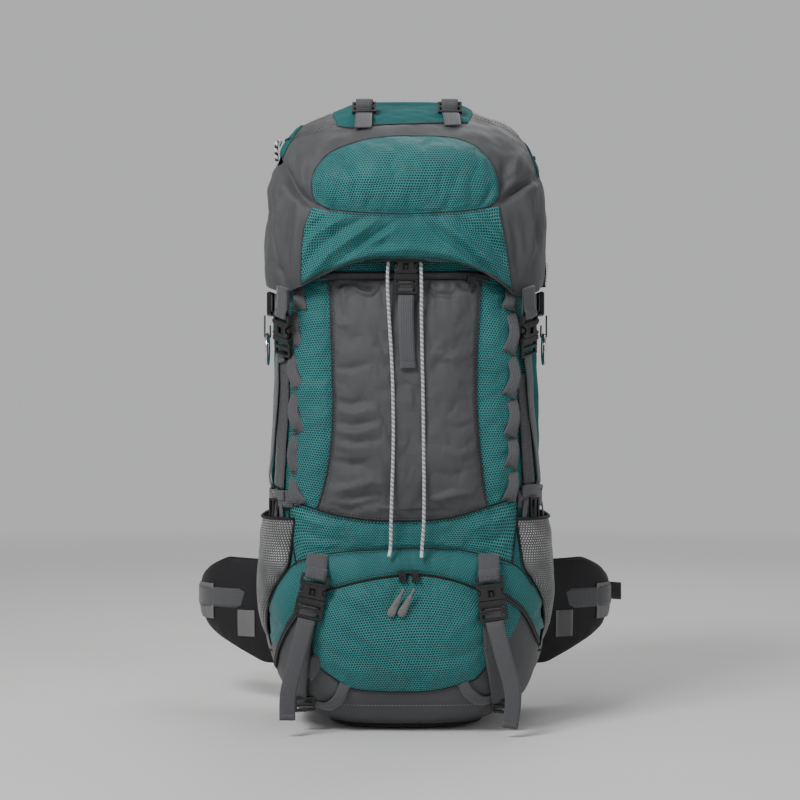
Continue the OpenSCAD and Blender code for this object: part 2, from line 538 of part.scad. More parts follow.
module lid_top_straps() color("gray") {
    for (x = [-50, 54]) {
        rows = [660, 677, 695, 710, 722, 735, 745];
        slab([for (z = rows) [for (d = [-10, 10]) on_lid(angle_at(x + d, lid_section(z)[0] + 6), z, 6)]],
            [for (z = rows) [for (d = [-10, 10]) on_lid(angle_at(x + d, lid_section(z)[0] + 2.5), z, 2.5)]]);
    }
    // webbing that carries the three buckles
    at_lid_front() bar_loop(web_narrow, 20);
    both_sides() at_lid_side() bar_loop(web_narrow, 12);
}
module lid_zip_slider() color("silver") translate([-153.2, -30, 690]) rotate([0, 23, 0]) {
    translate([-1.5, -6, -4]) cube([4, 12, 8]);
    translate([-3.2, -1.5, -28]) cube([2, 3, 30]);
}
module lid_buckles() color("black") {
    at_lid_front() female_half(narrow_buckle);
    both_sides() at_lid_side() female_half(narrow_buckle);
    for (x = [-50, 54]) translate([x, -12, 743]) rotate([18, 0, 0]) rotate([90, 0, 0]) triglide(web_narrow);
}

main_bag();
bottom_compartment();
collar();
collar_drawcord();
drawcord_tail_left();
drawcord_tail_right();
cord_lock_barrel();
cord_lock_button();
front_pocket();
front_zip();
front_zip_slider();
lower_front_panel();
bottom_panel();
bottom_hood();
base_panel();
bottom_zip();
bottom_slider_left();
bottom_slider_right();
bottom_pull_left();
bottom_pull_right();
side_pocket_left();
side_pocket_right();
daisy_chains();
lid_anchor_straps();
lid_side_male_left();
lid_side_male_right();
lid_front_male();
lid_front_tail();
compression_straps();
compression_male_left();
compression_male_right();
bottom_strap_webbing();
bottom_male_left();
bottom_male_right();
bottom_tail_left();
bottom_tail_right();
fixed_buckles();
tool_loops();
gear_ring_left();
gear_ring_right();
frame_sheet();
frame_stays();
back_pads();
shoulder_straps();
harness_webbing();
sternum_strap();
sternum_female();
sternum_male();
haul_handle();
hip_wing_left();
hip_wing_right();
hip_belt_left();
hip_belt_right();
hip_female();
hip_male();
lid_pocket();
lid_skirt();
lid_top_straps();
lid_zip_slider();
lid_buckles();
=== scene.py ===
"""Hiking backpack: fabric skins, webbing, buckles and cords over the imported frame, in metres.

Outlines on the front are drawn as seen by the camera, in millimetres on the upright plane through the origin,
and are thrown from the camera onto the surfaces.
"""
import math

import bmesh
import bpy
import numpy as np
from mathutils import Matrix, Vector, noise
from mathutils.bvhtree import BVHTree


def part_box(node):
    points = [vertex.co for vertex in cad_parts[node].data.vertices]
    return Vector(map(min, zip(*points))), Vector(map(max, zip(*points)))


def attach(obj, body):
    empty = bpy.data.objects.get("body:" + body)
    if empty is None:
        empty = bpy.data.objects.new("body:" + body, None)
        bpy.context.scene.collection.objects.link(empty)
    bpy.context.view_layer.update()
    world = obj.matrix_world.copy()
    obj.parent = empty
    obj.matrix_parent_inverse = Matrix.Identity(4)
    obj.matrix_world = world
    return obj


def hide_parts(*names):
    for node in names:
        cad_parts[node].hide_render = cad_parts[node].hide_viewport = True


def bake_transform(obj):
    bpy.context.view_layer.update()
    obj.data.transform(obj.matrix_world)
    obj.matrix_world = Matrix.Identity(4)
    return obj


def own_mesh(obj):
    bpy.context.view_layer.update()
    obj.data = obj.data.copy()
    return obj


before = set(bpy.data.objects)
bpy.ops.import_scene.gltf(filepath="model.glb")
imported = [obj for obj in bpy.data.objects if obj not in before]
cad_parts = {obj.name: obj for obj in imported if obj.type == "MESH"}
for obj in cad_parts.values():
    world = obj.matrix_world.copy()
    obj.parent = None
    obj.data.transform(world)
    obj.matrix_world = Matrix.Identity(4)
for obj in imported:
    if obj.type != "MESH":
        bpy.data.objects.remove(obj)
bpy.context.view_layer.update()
MM = 0.001
WEBBING = 20  # width of the common webbing, in mm
SMALL_BUCKLE, LARGE_BUCKLE = 28, 33  # widths of the buckles, in mm
SIDES = (("left", -1), ("right", 1))  # "left" pieces are on the side of -X, as the camera sees them

# ------------------------------------------------------------------ camera
CAMERA = Vector((-0.0067, -2.4, 0.388))
SENSOR = 36
VIEW_WIDTH = 0.9752  # width of the picture on the upright plane through the origin


def make_camera():
    data = bpy.data.cameras.new("camera")
    data.sensor_width = SENSOR
    data.lens = SENSOR * -CAMERA.y / VIEW_WIDTH
    camera = bpy.data.objects.new("camera", data)
    camera.location = CAMERA
    camera.rotation_euler = (math.radians(90), 0, 0)
    bpy.context.scene.collection.objects.link(camera)
    bpy.context.scene.camera = camera


make_camera()


def view_point(x, z, y):
    """The point at depth y (metres) that the camera sees at x, z (mm) on the upright plane."""
    seen = Vector((x * MM, 0, z * MM))
    return CAMERA + (seen - CAMERA) * ((y - CAMERA.y) / -CAMERA.y)


def seen_at(co):
    """Array of points to their x, z in mm on the upright plane, as the camera sees them."""
    k = -CAMERA.y / (co[:, 1] - CAMERA.y)
    return np.stack([(CAMERA.x + (co[:, 0] - CAMERA.x) * k) / MM, (CAMERA.z + (co[:, 2] - CAMERA.z) * k) / MM],
                    1)


# ------------------------------------------------------------------ curves and meshes
def smooth_path(points, step):
    """Catmull-Rom curve through points, resampled to about one point per step metres."""
    p = [Vector(q) for q in points]
    dense = []
    for i in range(len(p) - 1):
        a, b, c, d = p[max(i - 1, 0)], p[i], p[i + 1], p[min(i + 2, len(p) - 1)]
        n = max(2, int((c - b).length / step) + 1)
        for j in range(n):
            k = j / n
            dense.append(b + 0.5 * k * (c - a) + k * k * (a - 2.5 * b + 2 * c - 0.5 * d)
                         + 0.5 * k ** 3 * (3 * b - a - 3 * c + d))
    return dense + [p[-1]]


def tangent(path, i):
    return (path[min(i + 1, len(path) - 1)] - path[max(i - 1, 0)]).normalized()


def path_length(path):
    return sum((path[i + 1] - path[i]).length for i in range(len(path) - 1))


def add_object(name, verts, faces, mats, uvs=None, face_mats=None, smooth=True):
    mesh = bpy.data.meshes.new(name)
    mesh.from_pydata([tuple(v) for v in verts], [], faces)
    for m in mats:
        mesh.materials.append(m)
    if face_mats is not None:
        mesh.polygons.foreach_set("material_index", face_mats)
    if uvs is not None:
        layer = mesh.uv_layers.new(name="UVMap")
        loops = np.empty(len(mesh.loops), dtype=np.int32)
        mesh.loops.foreach_get("vertex_index", loops)
        layer.data.foreach_set("uv", np.asarray(uvs, dtype=np.float32)[loops].ravel())
    mesh.polygons.foreach_set("use_smooth", [smooth] * len(mesh.polygons))
    mesh.update()
    obj = bpy.data.objects.new(name, mesh)
    bpy.context.scene.collection.objects.link(obj)
    return obj


def finish_piece(obj, body, nodes=()):
    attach(obj, body)
    if nodes:
        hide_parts(*nodes)
    return obj


def ring_faces(rings, n):
    """Faces between closed rings of n points each."""
    return [(j * n + i, j * n + (i + 1) % n, (j + 1) * n + (i + 1) % n, (j + 1) * n + i)
            for j in range(rings - 1) for i in range(n)]


def tube(name, path, radius, mat, sides=10):
    """A round tube with rounded ends; u runs round it and v along it, in metres."""
    verts, faces, uvs = [], [], []
    n = len(path)
    run = 0
    side = tangent(path, 0).orthogonal().normalized()
    for i, p in enumerate(path):
        d = tangent(path, i)
        side = (side - side.dot(d) * d).normalized()
        up = d.cross(side)
        if i:
            run += (p - path[i - 1]).length
        for k in range(sides + 1):
            a = 2 * math.pi * k / sides
            verts.append(p + radius * (math.cos(a) * side + math.sin(a) * up))
            uvs.append((radius * a, run))
    w = sides + 1
    for i in range(n - 1):
        for k in range(sides):
            faces.append((i * w + k, i * w + k + 1, (i + 1) * w + k + 1, (i + 1) * w + k))
    for i, flip in ((0, True), (n - 1, False)):
        d = tangent(path, i) * (-1 if flip else 1)
        centre = len(verts)
        verts.append(path[i] + d * radius * 0.4)
        uvs.append(uvs[i * w])
        for k in range(sides):
            a, b = i * w + k, i * w + k + 1
            faces.append((b, a, centre) if flip else (a, b, centre))
    obj = add_object(name, verts, faces, [mat], uvs)
    mend(obj, 1e-6)
    return obj


def mend(obj, weld=0.0):
    """Makes all faces agree on which side is out, once points closer than weld metres are joined."""
    bm = bmesh.new()
    bm.from_mesh(obj.data)
    if weld:
        bmesh.ops.remove_doubles(bm, verts=bm.verts, dist=weld)
    bmesh.ops.recalc_face_normals(bm, faces=bm.faces)
    bm.to_mesh(obj.data)
    bm.free()


def band(name, path, normals, width, mat, thick=0.0016):
    """A flat webbing band along path; width is a number or a function of 0..1 along it."""
    verts, uvs = [], []
    run = 0
    n = len(path)
    columns = 6
    ring = 2 * (columns + 1)
    for i, p in enumerate(path):
        d = tangent(path, i)
        up = (normals[i] - normals[i].dot(d) * d).normalized()
        side = d.cross(up)
        if i:
            run += (p - path[i - 1]).length
        w = width(i / (n - 1)) if callable(width) else width
        for layer in (1, -1):
            for k in range(columns + 1):
                s = (k / columns - 0.5) * layer
                edge = 1 - max(0, (abs(2 * s) - 0.86) / 0.14) * 0.55
                rise = layer * thick / 2 * edge
                verts.append(p + side * (w * s) + up * rise)
                uvs.append((w * s, run))
    faces = ring_faces(n, ring)
    faces.append(tuple(reversed(range(ring))))
    faces.append(tuple(range((n - 1) * ring, n * ring)))
    obj = add_object(name, verts, faces, [mat], uvs)
    mend(obj)
    return obj


def join(name, objs):
    """Joins objects into one, keeping their materials."""
    with bpy.context.temp_override(active_object=objs[0], selected_editable_objects=objs):
        bpy.ops.object.join()
    objs[0].name = name
    return objs[0]


# ------------------------------------------------------------------ materials
class Graph:
    """A material with its node tree and the Principled shader in it."""

    def __init__(self, name, rough=0.6, metal=0.0, sheen=0.0, specular=0.5):
        self.mat = bpy.data.materials.new(name)
        self.mat.use_nodes = True
        self.tree = self.mat.node_tree
        self.shader = self.tree.nodes["Principled BSDF"]
        self.shader.inputs["Roughness"].default_value = rough
        self.shader.inputs["Metallic"].default_value = metal
        self.shader.inputs["Sheen Weight"].default_value = sheen
        self.shader.inputs["Sheen Roughness"].default_value = 0.45
        self.shader.inputs["Specular IOR Level"].default_value = specular

    def node(self, kind, **values):
        made = self.tree.nodes.new(kind)
        for key, value in values.items():
            setattr(made, key, value)
        return made

    def put(self, target, value):
        if hasattr(value, "links"):
            self.tree.links.new(value, target)
        else:
            target.default_value = value

    def math(self, op, a, b=0.0, c=0.0):
        made = self.node("ShaderNodeMath", operation=op)
        for socket, value in zip(made.inputs, (a, b, c)):
            self.put(socket, value)
        return made.outputs[0]

    def uv(self):
        return self.node("ShaderNodeUVMap", uv_map="UVMap").outputs[0]

    def place(self):
        return self.node("ShaderNodeTexCoord").outputs["Object"]

    def split(self, vector):
        made = self.node("ShaderNodeSeparateXYZ")
        self.put(made.inputs[0], vector)
        return made.outputs

    def noise(self, coord, scale, detail=3.0):
        made = self.node("ShaderNodeTexNoise")
        self.put(made.inputs["Vector"], coord)
        made.inputs["Scale"].default_value = scale
        made.inputs["Detail"].default_value = detail
        made.inputs["Roughness"].default_value = 0.55
        return made.outputs[0]

    def ramp(self, value, stops):
        made = self.node("ShaderNodeValToRGB")
        self.put(made.inputs[0], value)
        elements = made.color_ramp.elements
        while len(elements) < len(stops):
            elements.new(0.5)
        for element, (place, colour) in zip(elements, stops):
            element.position = place
            element.color = (*colour, 1) if len(colour) == 3 else colour
        return made.outputs[0]

    def mix(self, factor, a, b):
        made = self.node("ShaderNodeMix", data_type="RGBA")
        self.put(made.inputs[0], factor)
        for socket, value in ((made.inputs[6], a), (made.inputs[7], b)):
            self.put(socket, (*value, 1) if isinstance(value, tuple) and len(value) == 3 else value)
        return made.outputs[2]

    def bump(self, height, distance, strength=1.0, normal=None):
        made = self.node("ShaderNodeBump")
        made.inputs["Strength"].default_value = strength
        made.inputs["Distance"].default_value = distance
        self.put(made.inputs["Height"], height)
        if normal is not None:
            self.put(made.inputs["Normal"], normal)
        return made.outputs[0]

    def colour(self, value):
        self.put(self.shader.inputs["Base Color"], (*value, 1) if isinstance(value, tuple) else value)

    def normal(self, value):
        self.put(self.shader.inputs["Normal"], value)

    def rough(self, value):
        self.put(self.shader.inputs["Roughness"], value)


def shade(colour, k):
    return tuple(min(1.0, c * k) for c in colour)


def hexagons(g, cell):
    """0 in the middle of each honeycomb cell and about 0.55 at its corners, on the UV map."""
    x, y, _ = g.split(g.uv())
    x = g.math("DIVIDE", x, cell)
    y = g.math("DIVIDE", y, cell * math.sqrt(3))
    found = []
    for shift in (0.0, 0.5):
        a = g.math("SUBTRACT", g.math("FRACT", g.math("ADD", x, 100 + shift)), 0.5)
        b = g.math("MULTIPLY", g.math("SUBTRACT", g.math("FRACT", g.math("ADD", y, 100 + shift)), 0.5),
                   math.sqrt(3))
        found.append(g.math("SQRT", g.math("ADD", g.math("MULTIPLY", a, a), g.math("MULTIPLY", b, b))))
    return g.math("MINIMUM", found[0], found[1])


def honeycomb(name, colour, cell=0.0031, depth=0.0007):
    g = Graph(name, rough=0.5, sheen=0.05, specular=0.35)
    d = hexagons(g, cell)
    wide = g.noise(g.place(), 14, 4)
    tint = g.ramp(wide, [(0.3, shade(colour, 0.8)), (0.7, shade(colour, 1.22))])
    rim = g.ramp(d, [(0.26, (0, 0, 0)), (0.5, (1, 1, 1))])
    fine = g.noise(g.place(), 900, 2)
    # painted shade and highlight: the hollow middles of the cells are painted almost black as the shade in
    # them, and the raised rims are painted lighter as their highlight
    g.colour(g.mix(rim, g.mix(0.93, tint, shade(colour, 0.06)), g.mix(0.36, tint, shade(colour, 2.2))))
    weave = g.bump(fine, 0.0002, 0.3)
    g.normal(g.bump(rim, depth, 0.8, weave))
    return g.mat


def nylon(name, colour, rough=0.58, grain=1100, sheen=0.05, contrast=0.14):
    g = Graph(name, rough=rough, sheen=sheen, specular=0.4)
    place = g.place()
    wide = g.noise(place, 9, 5)
    speck = g.noise(place, grain, 2)
    tint = g.ramp(wide, [(0.3, shade(colour, 1 - contrast)), (0.7, shade(colour, 1 + contrast))])
    g.colour(g.mix(g.math("MULTIPLY", speck, 0.35), tint, shade(colour, 0.45)))
    x, y, _ = g.split(g.uv())
    warp = g.math("SINE", g.math("MULTIPLY", x, 2 * math.pi / 0.0013))
    weft = g.math("SINE", g.math("MULTIPLY", y, 2 * math.pi / 0.0013))
    cloth = g.bump(g.math("MULTIPLY", warp, weft), 0.00012, 0.6)
    g.normal(g.bump(g.noise(place, 160, 4), 0.0006, 0.35, cloth))
    g.rough(g.ramp(wide, [(0.3, (rough - 0.06,) * 3), (0.7, (rough + 0.08,) * 3)]))
    return g.mat


def ripstop(name, colour):
    g = Graph(name, rough=0.8, sheen=0.0, specular=0.1)
    x, y, _ = g.split(g.uv())
    lines = []
    for axis in (x, y):
        f = g.math("FRACT", g.math("ADD", g.math("DIVIDE", axis, 0.0042), 100))
        lines.append(g.math("LESS_THAN", f, 0.16))
    grid = g.math("MAXIMUM", lines[0], lines[1])
    wide = g.noise(g.place(), 16, 4)
    tint = g.ramp(wide, [(0.3, shade(colour, 0.82)), (0.7, shade(colour, 1.2))])
    g.colour(g.mix(g.math("MULTIPLY", grid, 0.35), tint, shade(colour, 0.6)))
    crinkle = g.bump(g.noise(g.place(), 90, 5), 0.0012, 0.5)
    g.normal(g.bump(grid, 0.0002, 0.5, crinkle))
    return g.mat


def webbing(name, colour, rib=0.0021):
    g = Graph(name, rough=0.62, sheen=0.25, specular=0.35)
    x, y, _ = g.split(g.uv())
    across = g.math("SINE", g.math("MULTIPLY", y, 2 * math.pi / rib))
    lengthwise = g.math("SINE", g.math("MULTIPLY", x, 2 * math.pi / 0.0026))
    height = g.math("ADD", g.math("MULTIPLY", across, 0.5), g.math("MULTIPLY", lengthwise, 0.5))
    speck = g.noise(g.place(), 700, 2)
    # painted shade and highlight: the grooves between the ribs are painted darker and the ribs lighter,
    # following the same height as the bump
    tint = g.ramp(g.math("ADD", g.math("MULTIPLY", height, 0.25), 0.5), [(0.2, shade(colour, 0.68)),
        (0.8, shade(colour, 1.15))])
    g.colour(g.mix(g.math("MULTIPLY", speck, 0.35), tint, shade(colour, 0.5)))
    g.normal(g.bump(height, 0.00035, 0.7))
    return g.mat


def plastic(name, colour, rough=0.38, grain=400):
    g = Graph(name, rough=rough, specular=0.5)
    place = g.place()
    g.colour(g.ramp(g.noise(place, 60, 3), [(0.3, shade(colour, 0.85)), (0.7, shade(colour, 1.25))]))
    rounded = g.node("ShaderNodeBevel", samples=4)
    rounded.inputs["Radius"].default_value = 0.0007
    g.normal(g.bump(g.noise(place, grain, 2), 0.0001, 0.35, rounded.outputs[0]))
    g.rough(g.ramp(g.noise(place, 120, 3), [(0.3, (rough - 0.05,) * 3), (0.7, (rough + 0.1,) * 3)]))
    return g.mat


def metal(name, colour, rough=0.16):
    g = Graph(name, rough=rough, metal=1.0)
    place = g.place()
    g.colour(colour)
    g.rough(g.ramp(g.noise(place, 90, 4), [(0.3, (rough * 0.7,) * 3), (0.7, (rough * 1.8,) * 3)]))
    g.normal(g.bump(g.noise(place, 500, 2), 0.00005, 0.3))
    return g.mat


def net(name, colour, cell=0.0034):
    """Dark mesh with a pale lining that shows through its holes."""
    g = Graph(name, rough=0.6, sheen=0.1)
    d = hexagons(g, cell)
    wide = g.noise(g.place(), 25, 3)
    hole = g.ramp(wide, [(0.35, (0.16, 0.17, 0.17)), (0.65, (0.50, 0.50, 0.50))])
    rim = g.ramp(d, [(0.22, (0, 0, 0)), (0.32, (1, 1, 1))])
    g.colour(g.mix(rim, hole, colour))
    g.normal(g.bump(rim, 0.0006, 0.8))
    return g.mat


def spacer(name, colour, cell=0.0055):
    """Thick air mesh on the pads."""
    g = Graph(name, rough=0.75, sheen=0.4)
    d = hexagons(g, cell)
    rim = g.ramp(d, [(0.18, (0, 0, 0)), (0.42, (1, 1, 1))])
    # painted shade: the holes between the rims are painted dark as the shade inside the mesh, and the raised
    # rims lighter
    g.colour(g.mix(rim, shade(colour, 0.25), shade(colour, 1.5)))
    g.normal(g.bump(rim, 0.0012, 0.9, g.bump(g.noise(g.place(), 700, 2), 0.0002, 0.4)))
    return g.mat


def braid(name, colour, fleck, pitch=0.0052, radius=0.002):
    """Round braided cord with a light fleck that winds round it."""
    g = Graph(name, rough=0.6, sheen=0.25)
    x, y, _ = g.split(g.uv())
    turn = g.math("DIVIDE", x, 2 * math.pi * radius)
    wind = g.math("FRACT", g.math("ADD", g.math("ADD", turn, g.math("DIVIDE", y, pitch)), 100))
    back = g.math("FRACT", g.math("ADD", g.math("SUBTRACT", turn, g.math("DIVIDE", y, pitch)), 100))
    light = g.math("LESS_THAN", wind, 0.5)
    strands = []
    for way in (wind, back):
        strands.append(g.math("SINE", g.math("MULTIPLY", way, 2 * math.pi * 4)))
    plait = g.math("MAXIMUM", strands[0], strands[1])
    shadow = g.ramp(g.math("MULTIPLY_ADD", plait, 0.5, 0.5), [(0.2, (0.5, 0.5, 0.5)), (0.7, (1, 1, 1))])
    base = g.mix(light, colour, fleck)
    made = g.node("ShaderNodeMix", data_type="RGBA", blend_type="MULTIPLY")
    made.inputs[0].default_value = 0.75
    g.put(made.inputs[6], base)
    g.put(made.inputs[7], shadow)
    g.colour(made.outputs[2])
    g.normal(g.bump(plait, 0.0004, 0.8))
    return g.mat


def zip_teeth(name, colour):
    g = Graph(name, rough=0.5)
    x, y, _ = g.split(g.uv())
    f = g.math("FRACT", g.math("ADD", g.math("DIVIDE", y, 0.0022), 100))
    tooth = g.math("LESS_THAN", f, 0.55)
    middle = g.math("LESS_THAN", g.math("ABSOLUTE", x), 0.0022)
    both = g.math("MULTIPLY", tooth, middle)
    # painted highlight: the raised teeth are painted much lighter than the tape, as the glint on each tooth,
    # and the tape between them darker
    g.colour(g.mix(both, shade(colour, 0.6), shade(colour, 3.5)))
    g.normal(g.bump(both, 0.0008, 0.8))
    return g.mat


def plain(name, colour, rough=0.6):
    g = Graph(name, rough=rough, sheen=0.1)
    g.colour(g.ramp(g.noise(g.place(), 250, 3), [(0.3, shade(colour, 0.85)), (0.7, shade(colour, 1.15))]))
    g.normal(g.bump(g.noise(g.place(), 1500, 2), 0.0001, 0.4))
    return g.mat


GREY = (0.079, 0.080, 0.085)
TEAL = (0.031, 0.212, 0.216)
MAT = {
    "teal": honeycomb("honeycomb_teal", TEAL),
    "ripstop": ripstop("ripstop_teal", (0.018, 0.118, 0.120)),
    "hood": honeycomb("honeycomb_hood", (0.028, 0.195, 0.200), cell=0.0026, depth=0.0004),
    "grey": nylon("nylon_grey", GREY),
    "dark": nylon("nylon_dark", (0.012, 0.012, 0.014), rough=0.7),
    "side_grey": nylon("elastic_grey", (0.19, 0.19, 0.19), rough=0.7),
    "web": webbing("webbing_grey", (0.098, 0.099, 0.108)),
    "web_dark": webbing("webbing_dark", (0.075, 0.076, 0.082)),
    "black": plastic("plastic_black", (0.014, 0.014, 0.015), rough=0.32),
    "plastic_grey": plastic("plastic_grey", (0.024, 0.024, 0.025), rough=0.36),
    "steel": metal("polished_steel", (0.75, 0.75, 0.77)),
    "stay": metal("brushed_aluminium", (0.65, 0.66, 0.68), rough=0.3),
    "net": net("pocket_net", (0.075, 0.076, 0.078)),
    "spacer": spacer("air_mesh", (0.02, 0.021, 0.023)),
    "cord": braid("cord_braid", (0.40, 0.39, 0.45), (0.82, 0.82, 0.84)),
    "pull_cord": braid("pull_cord", (0.012, 0.012, 0.014), (0.85, 0.85, 0.85), pitch=0.008, radius=0.0024),
    "cord_end": plain("cord_end_white", (0.75, 0.75, 0.77)),
    "zip": zip_teeth("zip_dark", (0.022, 0.022, 0.024)),
    "piping": plain("piping_dark", (0.024, 0.025, 0.027)),
    "binding": nylon("binding_black", (0.008, 0.008, 0.009), rough=0.7),
    "thread": plain("thread_dark", (0.010, 0.012, 0.012)),
    "thread_light": plain("thread_light", (0.22, 0.21, 0.21)),
    "rubber": plain("rubber_grey", (0.15, 0.14, 0.14), rough=0.55),
    "sheet": plastic("sheet_black", (0.015, 0.015, 0.016), rough=0.5),
}

# ------------------------------------------------------------------ drawcord tails
LEFT_CORD = [(-2.5, -78, 615.5), (-4, -90, 602), (-9, -106, 584), (-15, -120, 565), (-20, -129, 548),
             (-21, -134, 520), (-19, -136, 480), (-16, -138, 430), (-14.5, -138, 380), (-14.5, -137, 330),
             (-16, -135, 280), (-17, -133, 245), (-17.5, -132, 220), (-19.5, -132, 208)]
RIGHT_CORD = [(2.5, -78, 615.5), (4, -90, 602), (8, -106, 584), (14, -120, 565), (17, -129, 548),
              (18, -134, 520), (18, -136, 480), (19, -138, 430), (20, -138, 380), (20.5, -137, 330),
              (21, -135, 280), (20.5, -133, 245), (19, -132, 222), (18, -132, 207)]
CORD_R = 0.002


def make_cords():
    for side, route in (("left", LEFT_CORD), ("right", RIGHT_CORD)):
        path = smooth_path([Vector(p) * MM for p in route], 0.004)
        cord = tube("drawcord_tail_" + side + "_braid", path, CORD_R, MAT["cord"], sides=12)
        cut = path_length(path) - 0.009
        cord.data.materials.append(MAT["cord_end"])
        uv = cord.data.uv_layers["UVMap"].data
        for poly in cord.data.polygons:
            if min(uv[i].uv[1] for i in poly.loop_indices) > cut:
                poly.material_index = 1
        finish_piece(cord, "pack", ["drawcord_tail_" + side])
        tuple(path[0])


make_cords()

# ------------------------------------------------------------------ sections of the body and the lid, in mm
def smooth_keys(keys, span=17):
    """Keys (z, value) joined by a line that is rounded over span mm."""
    z = np.arange(keys[0][0] - span, keys[-1][0] + span + 1.0)
    v = np.interp(z, [k[0] for k in keys], [k[1] for k in keys])
    kernel = np.hanning(span + 2)[1:-1]
    rounded = np.convolve(v, kernel / kernel.sum(), mode="same")
    rounded[:span] = v[:span]
    rounded[-span:] = v[-span:]
    return lambda at: np.interp(at, z, rounded)


BODY_WIDTH = smooth_keys([(0, -80), (8, -68), (14, -50), (22, -34), (39, -17), (60, -8), (80, -3), (120, 2),
                          (160, 3), (196, 1), (215, 0), (330, -1), (400, -2), (480, -4), (540, -7), (575, -12)],
                         9)
BODY_FRONT = smooth_keys([(0, -46), (8, -34), (22, -15), (45, 0), (80, 9), (120, 13), (160, 13), (190, 6),
                          (215, -3), (260, -1), (330, 3), (400, 4), (480, 1), (540, -6), (575, -14)], 9)
BODY_BACK = smooth_keys([(0, -22), (8, -10), (22, -3), (45, 0), (575, 0)], 9)
LID_WIDTH = smooth_keys([(500, 168), (600, 169), (640, 166), (677, 155), (695, 147), (720, 130), (732, 112),
                         (742, 93), (750, 76)], 13)
LID_FRONT = smooth_keys([(500, -138), (555, -140), (600, -139), (625, -136), (640, -134), (660, -129),
                         (677, -120), (695, -102), (710, -76), (722, -48), (735, -12), (745, 18), (750, 38)],
                        13)
LID_BACK = smooth_keys([(500, 113), (700, 113), (725, 108), (740, 100), (750, 88)], 9)


HIGH_STRAP, LOW_STRAP = 505, 272  # heights of the compression straps
LID_CREASE = 640  # height where the filled pocket meets the skirt of the lid
BAG_CENTRE, LID_CENTRE = Vector((0, 0, 0.3)), Vector((0, 0, 0.62))


def body_section(z):
    return 162 + BODY_WIDTH(z), -118 - BODY_FRONT(z), 100 + BODY_BACK(z)


def lid_section(z):
    return LID_WIDTH(z), LID_FRONT(z), LID_BACK(z)


def on_section(section, t, off=0.0):
    """x, y of a section at angle t in degrees: 0 at the front middle, 90 at +X, 180 at the back."""
    half, front, back = section
    s, c = np.sin(np.radians(t)), np.cos(np.radians(t))
    power = np.where(c >= 0, 3.0, 6.0)
    mid, deep = (front + back) / 2, (back - front) / 2 + off
    return ((half + off) * np.sign(s) * np.abs(s) ** (2 / power),
            mid - deep * np.sign(c) * np.abs(c) ** (2 / power))


def even_angles(section, columns):
    """Angles that split a section into equal lengths."""
    t = np.linspace(-180, 180, 1441)
    x, y = on_section(section, t)
    run = np.concatenate([[0], np.cumsum(np.hypot(np.diff(x), np.diff(y)))])
    return np.interp(np.linspace(0, run[-1], columns + 1), run, t)


def on_body(t, z, off=0.0):
    x, y = on_section(body_section(z), t, off)
    return Vector((float(x), float(y), float(z))) * MM


def on_lid(t, z, off=0.0):
    x, y = on_section(lid_section(z), t, off)
    return Vector((float(x), float(y), float(z))) * MM


# ------------------------------------------------------------------ grids
class Grid:
    """Rows of points; becomes a mesh with UVs in metres."""

    def __init__(self, points):
        self.p = np.array(points, dtype=float)

    def uvs(self):
        du = np.linalg.norm(np.diff(self.p, axis=1), axis=2)
        dv = np.linalg.norm(np.diff(self.p, axis=0), axis=2)
        u = np.concatenate([np.zeros((self.p.shape[0], 1)), np.cumsum(du, axis=1)], 1)
        u -= u[:, u.shape[1] // 2][:, None]
        mean = np.concatenate([[0], np.cumsum(dv.mean(axis=1))])
        v = np.repeat(mean[:, None], self.p.shape[1], axis=1)
        return np.stack([u, v], 2).reshape(-1, 2)

    def normals(self):
        gu = np.gradient(self.p, axis=1)
        gv = np.gradient(self.p, axis=0)
        n = np.cross(gu, gv)
        length = np.linalg.norm(n, axis=2, keepdims=True)
        return n / np.maximum(length, 1e-12)

    def lift(self, height):
        self.p = self.p + self.normals() * (np.asarray(height)[..., None])
        return self

    def build(self, name, mats, pick=None):
        rows, cols = self.p.shape[:2]
        faces, index = [], []
        for j in range(rows - 1):
            for i in range(cols - 1):
                a = j * cols + i
                faces.append((a, a + 1, a + cols + 1, a + cols))
                index.append(pick(j / (rows - 1), i / (cols - 1)) if pick else 0)
        return add_object(name, self.p.reshape(-1, 3), faces, mats, self.uvs(), index)


def rumple(points, scale, seed):
    """Smooth noise, about -1 to 1, at an array of points in metres; scale is the size of a lump in metres."""
    flat = points.reshape(-1, 3) / scale + seed
    values = [noise.fractal(Vector(q), 0.6, 2.0, 3, noise_basis="PERLIN_ORIGINAL") for q in flat]
    return np.array(values).reshape(points.shape[:-1])


def near_line(seen, line):
    """Distance in mm from seen points to a polyline, and how far along it (0..1) the nearest point is."""
    best = np.full(seen.shape[:-1], 1e9)
    along = np.zeros(seen.shape[:-1])
    line = np.array(line, dtype=float)
    seg = np.linalg.norm(np.diff(line, axis=0), axis=1)
    run = np.concatenate([[0], np.cumsum(seg)]) / seg.sum()
    for i in range(len(line) - 1):
        a, b = line[i], line[i + 1]
        d = b - a
        if not d.any():
            continue
        k = np.clip(((seen - a) @ d) / (d @ d), 0, 1)
        q = a + k[..., None] * d
        dist = np.linalg.norm(seen - q, axis=-1)
        closer = dist < best
        best = np.where(closer, dist, best)
        along = np.where(closer, run[i] + k * (run[i + 1] - run[i]), along)
    return best, along


def fold(seen, line, width, height, fade=0.4):
    """Ridge (or, with a negative height, groove) along a line, fading out at its ends."""
    d, k = near_line(seen, line)
    ends = np.clip(np.minimum(k, 1 - k) / fade, 0, 1) ** 0.7
    return 1.6 * height * np.exp(-(d / width) ** 2) * ends


def curve_mm(points, step=4.0):
    """Smooth curve through (x, z) points, resampled evenly, as an array."""
    dense = smooth_path([(x, 0, z) for x, z in points], 1.0)
    p = np.array([(q.x, q.z) for q in dense])
    run = np.concatenate([[0], np.cumsum(np.linalg.norm(np.diff(p, axis=0), axis=1))])
    n = max(2, int(run[-1] / step) + 1)
    at = np.linspace(0, run[-1], n)
    return np.stack([np.interp(at, run, p[:, 0]), np.interp(at, run, p[:, 1])], 1)


